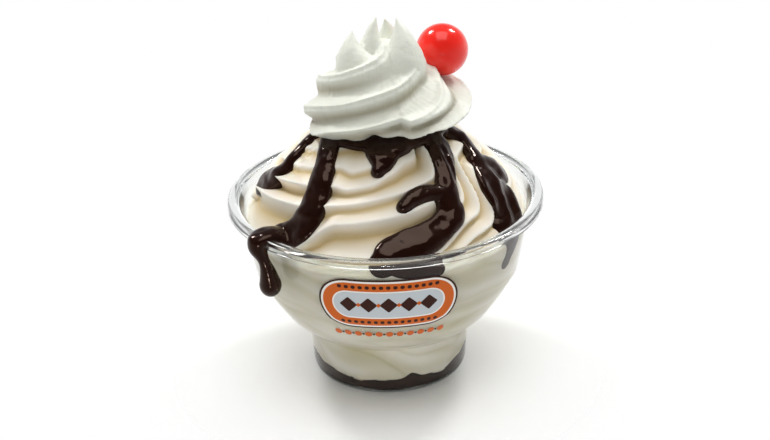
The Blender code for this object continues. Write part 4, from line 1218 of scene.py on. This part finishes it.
def shaded(tree, shader, colour, shades):
    """Painted shade: a colour that goes over to each darker shade as the value of that name, kept in the
    mesh, rises to 1.
    """
    for name, shade in shades.items():
        kept = add_node(tree, "ShaderNodeAttribute", attribute_name=name)
        mix = add_node(tree, "ShaderNodeMix", {
            "Factor": kept.outputs["Fac"], "A": colour, "B": linear(shade)}, data_type="RGBA")
        colour = mix.outputs["Result"]
    tree.links.new(colour, shader.inputs["Base Color"])


def spotted(tree, shader, share, first, second):
    """Goes from one colour to another as a share goes from 0 to 1."""
    mix = add_node(tree, "ShaderNodeMix", {
        "Factor": share, "A": linear(first), "B": linear(second)}, data_type="RGBA")
    tree.links.new(mix.outputs["Result"], shader.inputs["Base Color"])


def clear_plastic():
    """Moulded clear plastic: glossy on both sides, and it lets the light through to the food."""
    result, tree, shader = principled("clear moulded plastic", {
        "Base Color": linear("fbfdfc"), "Roughness": 0.07, "IOR": 1.45, "Transmission Weight": 1.0})
    grained(tree, shader, *PLASTIC_RELIEF)
    light = add_node(tree, "ShaderNodeLightPath")
    open_way = add_node(tree, "ShaderNodeBsdfTransparent", {"Color": linear("f6f8f7")})
    mix = add_node(tree, "ShaderNodeMixShader", {
        0: light.outputs["Is Shadow Ray"], 1: shader.outputs["BSDF"], 2: open_way.outputs["BSDF"]})
    tree.links.new(mix.outputs["Shader"], tree.nodes["Material Output"].inputs["Surface"])
    return result


def soft_serve():
    """Vanilla soft serve: a smooth moist foam, with painted shade, darker and creamier, in its valleys and in
    the folds seen through the wall.
    """
    result, tree, shader = principled("vanilla soft serve", {
        "Roughness": 0.42, "Subsurface Weight": 0.25, "Subsurface Radius": (1.0, 0.72, 0.42),
        "Subsurface Scale": 0.7 * MM})
    # Painted shade: d2ba86 in the ridges' valleys and cfc7a0 in the folds seen through the wall
    shaded(tree, shader, linear("faf4e8"), {"painted_valley_shade": "d2ba86", "fold": "cfc7a0"})
    grained(tree, shader, *SOFT_SERVE_RELIEF)
    return result


def hot_fudge():
    """Warm chocolate fudge sauce: nearly black, thick and wet."""
    result, tree, shader = principled("hot fudge sauce", {
        "Roughness": 0.12, "Specular IOR Level": 0.45, "Specular Tint": linear("f0d0bc")})
    spots = grained(tree, shader, *FUDGE_RELIEF)
    spotted(tree, shader, spots, "120402", "240b06")
    return result


def whipped():
    """Whipped cream: a stiff white foam with fine bubbles, with painted shade in the valleys of its flutes.
    """
    result, tree, shader = principled("whipped cream foam", {
        "Roughness": 0.5, "Subsurface Weight": 0.2, "Subsurface Radius": (1.0, 0.9, 0.7),
        "Subsurface Scale": 0.6 * MM})
    # Painted shade: b2ad98 in the flutes' valleys
    shaded(tree, shader, linear("e6e8dc"), {"painted_valley_shade": "b2ad98"})
    grained(tree, shader, *CREAM_RELIEF)
    return result


def cherry_skin():
    """Maraschino cherry: dyed red, see-through flesh under a syrupy skin."""
    result, tree, shader = principled("maraschino cherry", {
        "Roughness": 0.22, "Subsurface Weight": 0.6, "Subsurface Radius": (1.0, 0.12, 0.08),
        "Subsurface Scale": 6.0 * MM, "Specular IOR Level": 0.2, "Coat Weight": 0.6, "Coat Roughness": 0.04})
    flesh = grained(tree, shader, *CHERRY_RELIEF)
    spotted(tree, shader, flesh, "f4241a", "fa3424")
    return result


def ink(name, code):
    """Printing ink on the plastic: a thin film, shinier in some places than in others."""
    result, tree, shader = principled(name, {"Specular IOR Level": 0.2, "Base Color": linear(code)})
    place = add_node(tree, "ShaderNodeTexCoord")
    film = add_node(tree, "ShaderNodeTexNoise", {
        "Vector": place.outputs["Object"], "Scale": 1.0 / (INK_FILM_SIZE * MM), "Detail": 2.0})
    shade = add_node(tree, "ShaderNodeMapRange", {
        "Value": film.outputs["Fac"], "To Min": INK_ROUGHNESS[0], "To Max": INK_ROUGHNESS[1]})
    tree.links.new(shade.outputs["Result"], shader.inputs["Roughness"])
    return result


# Surroundings

def make_camera():
    """A view from the front and above, rolled a little."""
    fall = math.radians(VIEW_FALL)
    roll = math.radians(VIEW_ROLL)
    forward = Vector((0.0, math.cos(fall), -math.sin(fall)))
    level = Vector((1.0, 0.0, 0.0))
    above = level.cross(forward)
    right = level * math.cos(roll) + above * math.sin(roll)
    top = above * math.cos(roll) - level * math.sin(roll)
    camera = bpy.data.objects.new("camera", bpy.data.cameras.new("camera"))
    camera.data.sensor_width = SENSOR_WIDTH
    camera.data.lens = FOCAL_SHARE * SENSOR_WIDTH
    camera.data.clip_start = 0.01
    turn = Matrix((right, top, -forward)).transposed().to_4x4()
    camera.matrix_world = Matrix.Translation(VIEW_AIM - forward * VIEW_DISTANCE) @ turn
    bpy.context.scene.collection.objects.link(camera)
    bpy.context.scene.camera = camera


def by_direction(tree, parts, levels):
    """A brightness that is the product of one ramp for each axis of the direction."""
    product = 1.0
    for axis, (start, end, first, last) in levels.items():
        ramp = add_node(tree, "ShaderNodeMapRange", {
            "Value": parts.outputs[axis], "From Min": start, "From Max": end, "To Min": first,
            "To Max": last})
        multiplied = add_node(tree, "ShaderNodeMath", {
            0: ramp.outputs["Result"], 1: product}, operation="MULTIPLY")
        product = multiplied.outputs["Value"]
    return product


def make_world():
    """White to the camera, a soft surround brighter below and behind, mirrored dark from above."""
    world = bpy.data.worlds.new("white studio")
    bpy.context.scene.world = world
    world.use_nodes = True
    tree = world.node_tree
    place = add_node(tree, "ShaderNodeTexCoord")
    parts = add_node(tree, "ShaderNodeSeparateXYZ", {"Vector": place.outputs["Generated"]})
    light = add_node(tree, "ShaderNodeLightPath")
    shone = add_node(tree, "ShaderNodeMix", {
        "Factor": light.outputs["Is Glossy Ray"], "A": by_direction(tree, parts, SURROUND_LEVELS),
        "B": by_direction(tree, parts, MIRRORED_LEVELS)})
    seen = add_node(tree, "ShaderNodeMix", {
        "Factor": light.outputs["Is Camera Ray"], "A": shone.outputs["Result"], "B": 1.0})
    background = tree.nodes["Background"]
    background.inputs["Color"].default_value = (1.0, 1.0, 1.0, 1.0)
    tree.links.new(seen.outputs["Result"], background.inputs["Strength"])


def make_light(name, place, size, power):
    """A square soft box that faces the sundae."""
    lamp = bpy.data.lights.new(name, "AREA")
    lamp.size = size
    lamp.energy = power
    soft_box = bpy.data.objects.new(name, lamp)
    soft_box.location = place
    aim = SOFT_BOX_AIM - Vector(place)
    soft_box.rotation_euler = aim.to_track_quat("-Z", "Y").to_euler()
    bpy.context.scene.collection.objects.link(soft_box)


def make_cup_light():
    """A low spot from the front that only brightens the cup."""
    lamp = bpy.data.lights.new("low front spot", "SPOT")
    lamp.energy = SPOT_POWER
    lamp.shadow_soft_size = SPOT_SOFTNESS
    lamp.spot_size = math.radians(SPOT_ANGLE)
    lamp.spot_blend = 0.8
    spot = bpy.data.objects.new("low front spot", lamp)
    spot.location = SPOT_PLACE
    aim = SPOT_AIM - SPOT_PLACE
    spot.rotation_euler = aim.to_track_quat("-Z", "Y").to_euler()
    bpy.context.scene.collection.objects.link(spot)


def make_floor():
    """A pale table top that fades into the white surround."""
    form = bmesh.new()
    bmesh.ops.create_circle(form, cap_ends=True, segments=96, radius=TABLE_RADIUS)
    mesh = bpy.data.meshes.new("table")
    form.to_mesh(mesh)
    form.free()
    floor = new_object("table", mesh)
    result, tree, shader = principled("white table top", {
        "Base Color": linear("f9f9f7"), "Roughness": 0.6})
    place = add_node(tree, "ShaderNodeTexCoord")
    away = add_node(tree, "ShaderNodeVectorMath", {0: place.outputs["Object"]}, operation="LENGTH")
    fade = add_node(tree, "ShaderNodeMapRange", {
        "Value": away.outputs["Value"], "From Min": TABLE_FADE[0], "From Max": TABLE_FADE[1]})
    gone = add_node(tree, "ShaderNodeBsdfTransparent")
    mix = add_node(tree, "ShaderNodeMixShader", {
        0: fade.outputs["Result"], 1: shader.outputs["BSDF"], 2: gone.outputs["BSDF"]})
    tree.links.new(mix.outputs["Shader"], tree.nodes["Material Output"].inputs["Surface"])
    mesh.materials.append(result)


# The whole

TURNING = turning_tree()
SWEEPING = sweeping_tree()
ROW = row_tree()

bpy.context.scene.view_settings.view_transform = "Standard"
make_camera()
make_world()
for soft_box in SOFT_BOXES:
    make_light(*soft_box)
make_cup_light()
make_floor()

plastic = clear_plastic()
fudge_finish = hot_fudge()
pieces = [(make_cup(plastic), "clear_plastic", "cup"),
          (make_foot_fudge(fudge_finish), "hot_fudge", "fudge_layer"),
          (make_mound(soft_serve()), "vanilla_ice_cream", "ice_cream"),
          (make_poured_fudge(fudge_finish), "hot_fudge", "fudge_topping"),
          (make_cream(whipped()), "whipped_cream", "whipped_cream"),
          (make_cherry(cherry_skin()), "maraschino_cherry", "cherry")]
for piece, slot, node in pieces:
    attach(piece, "root")
    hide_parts(node)

for piece in make_print():
    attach(piece, "root")
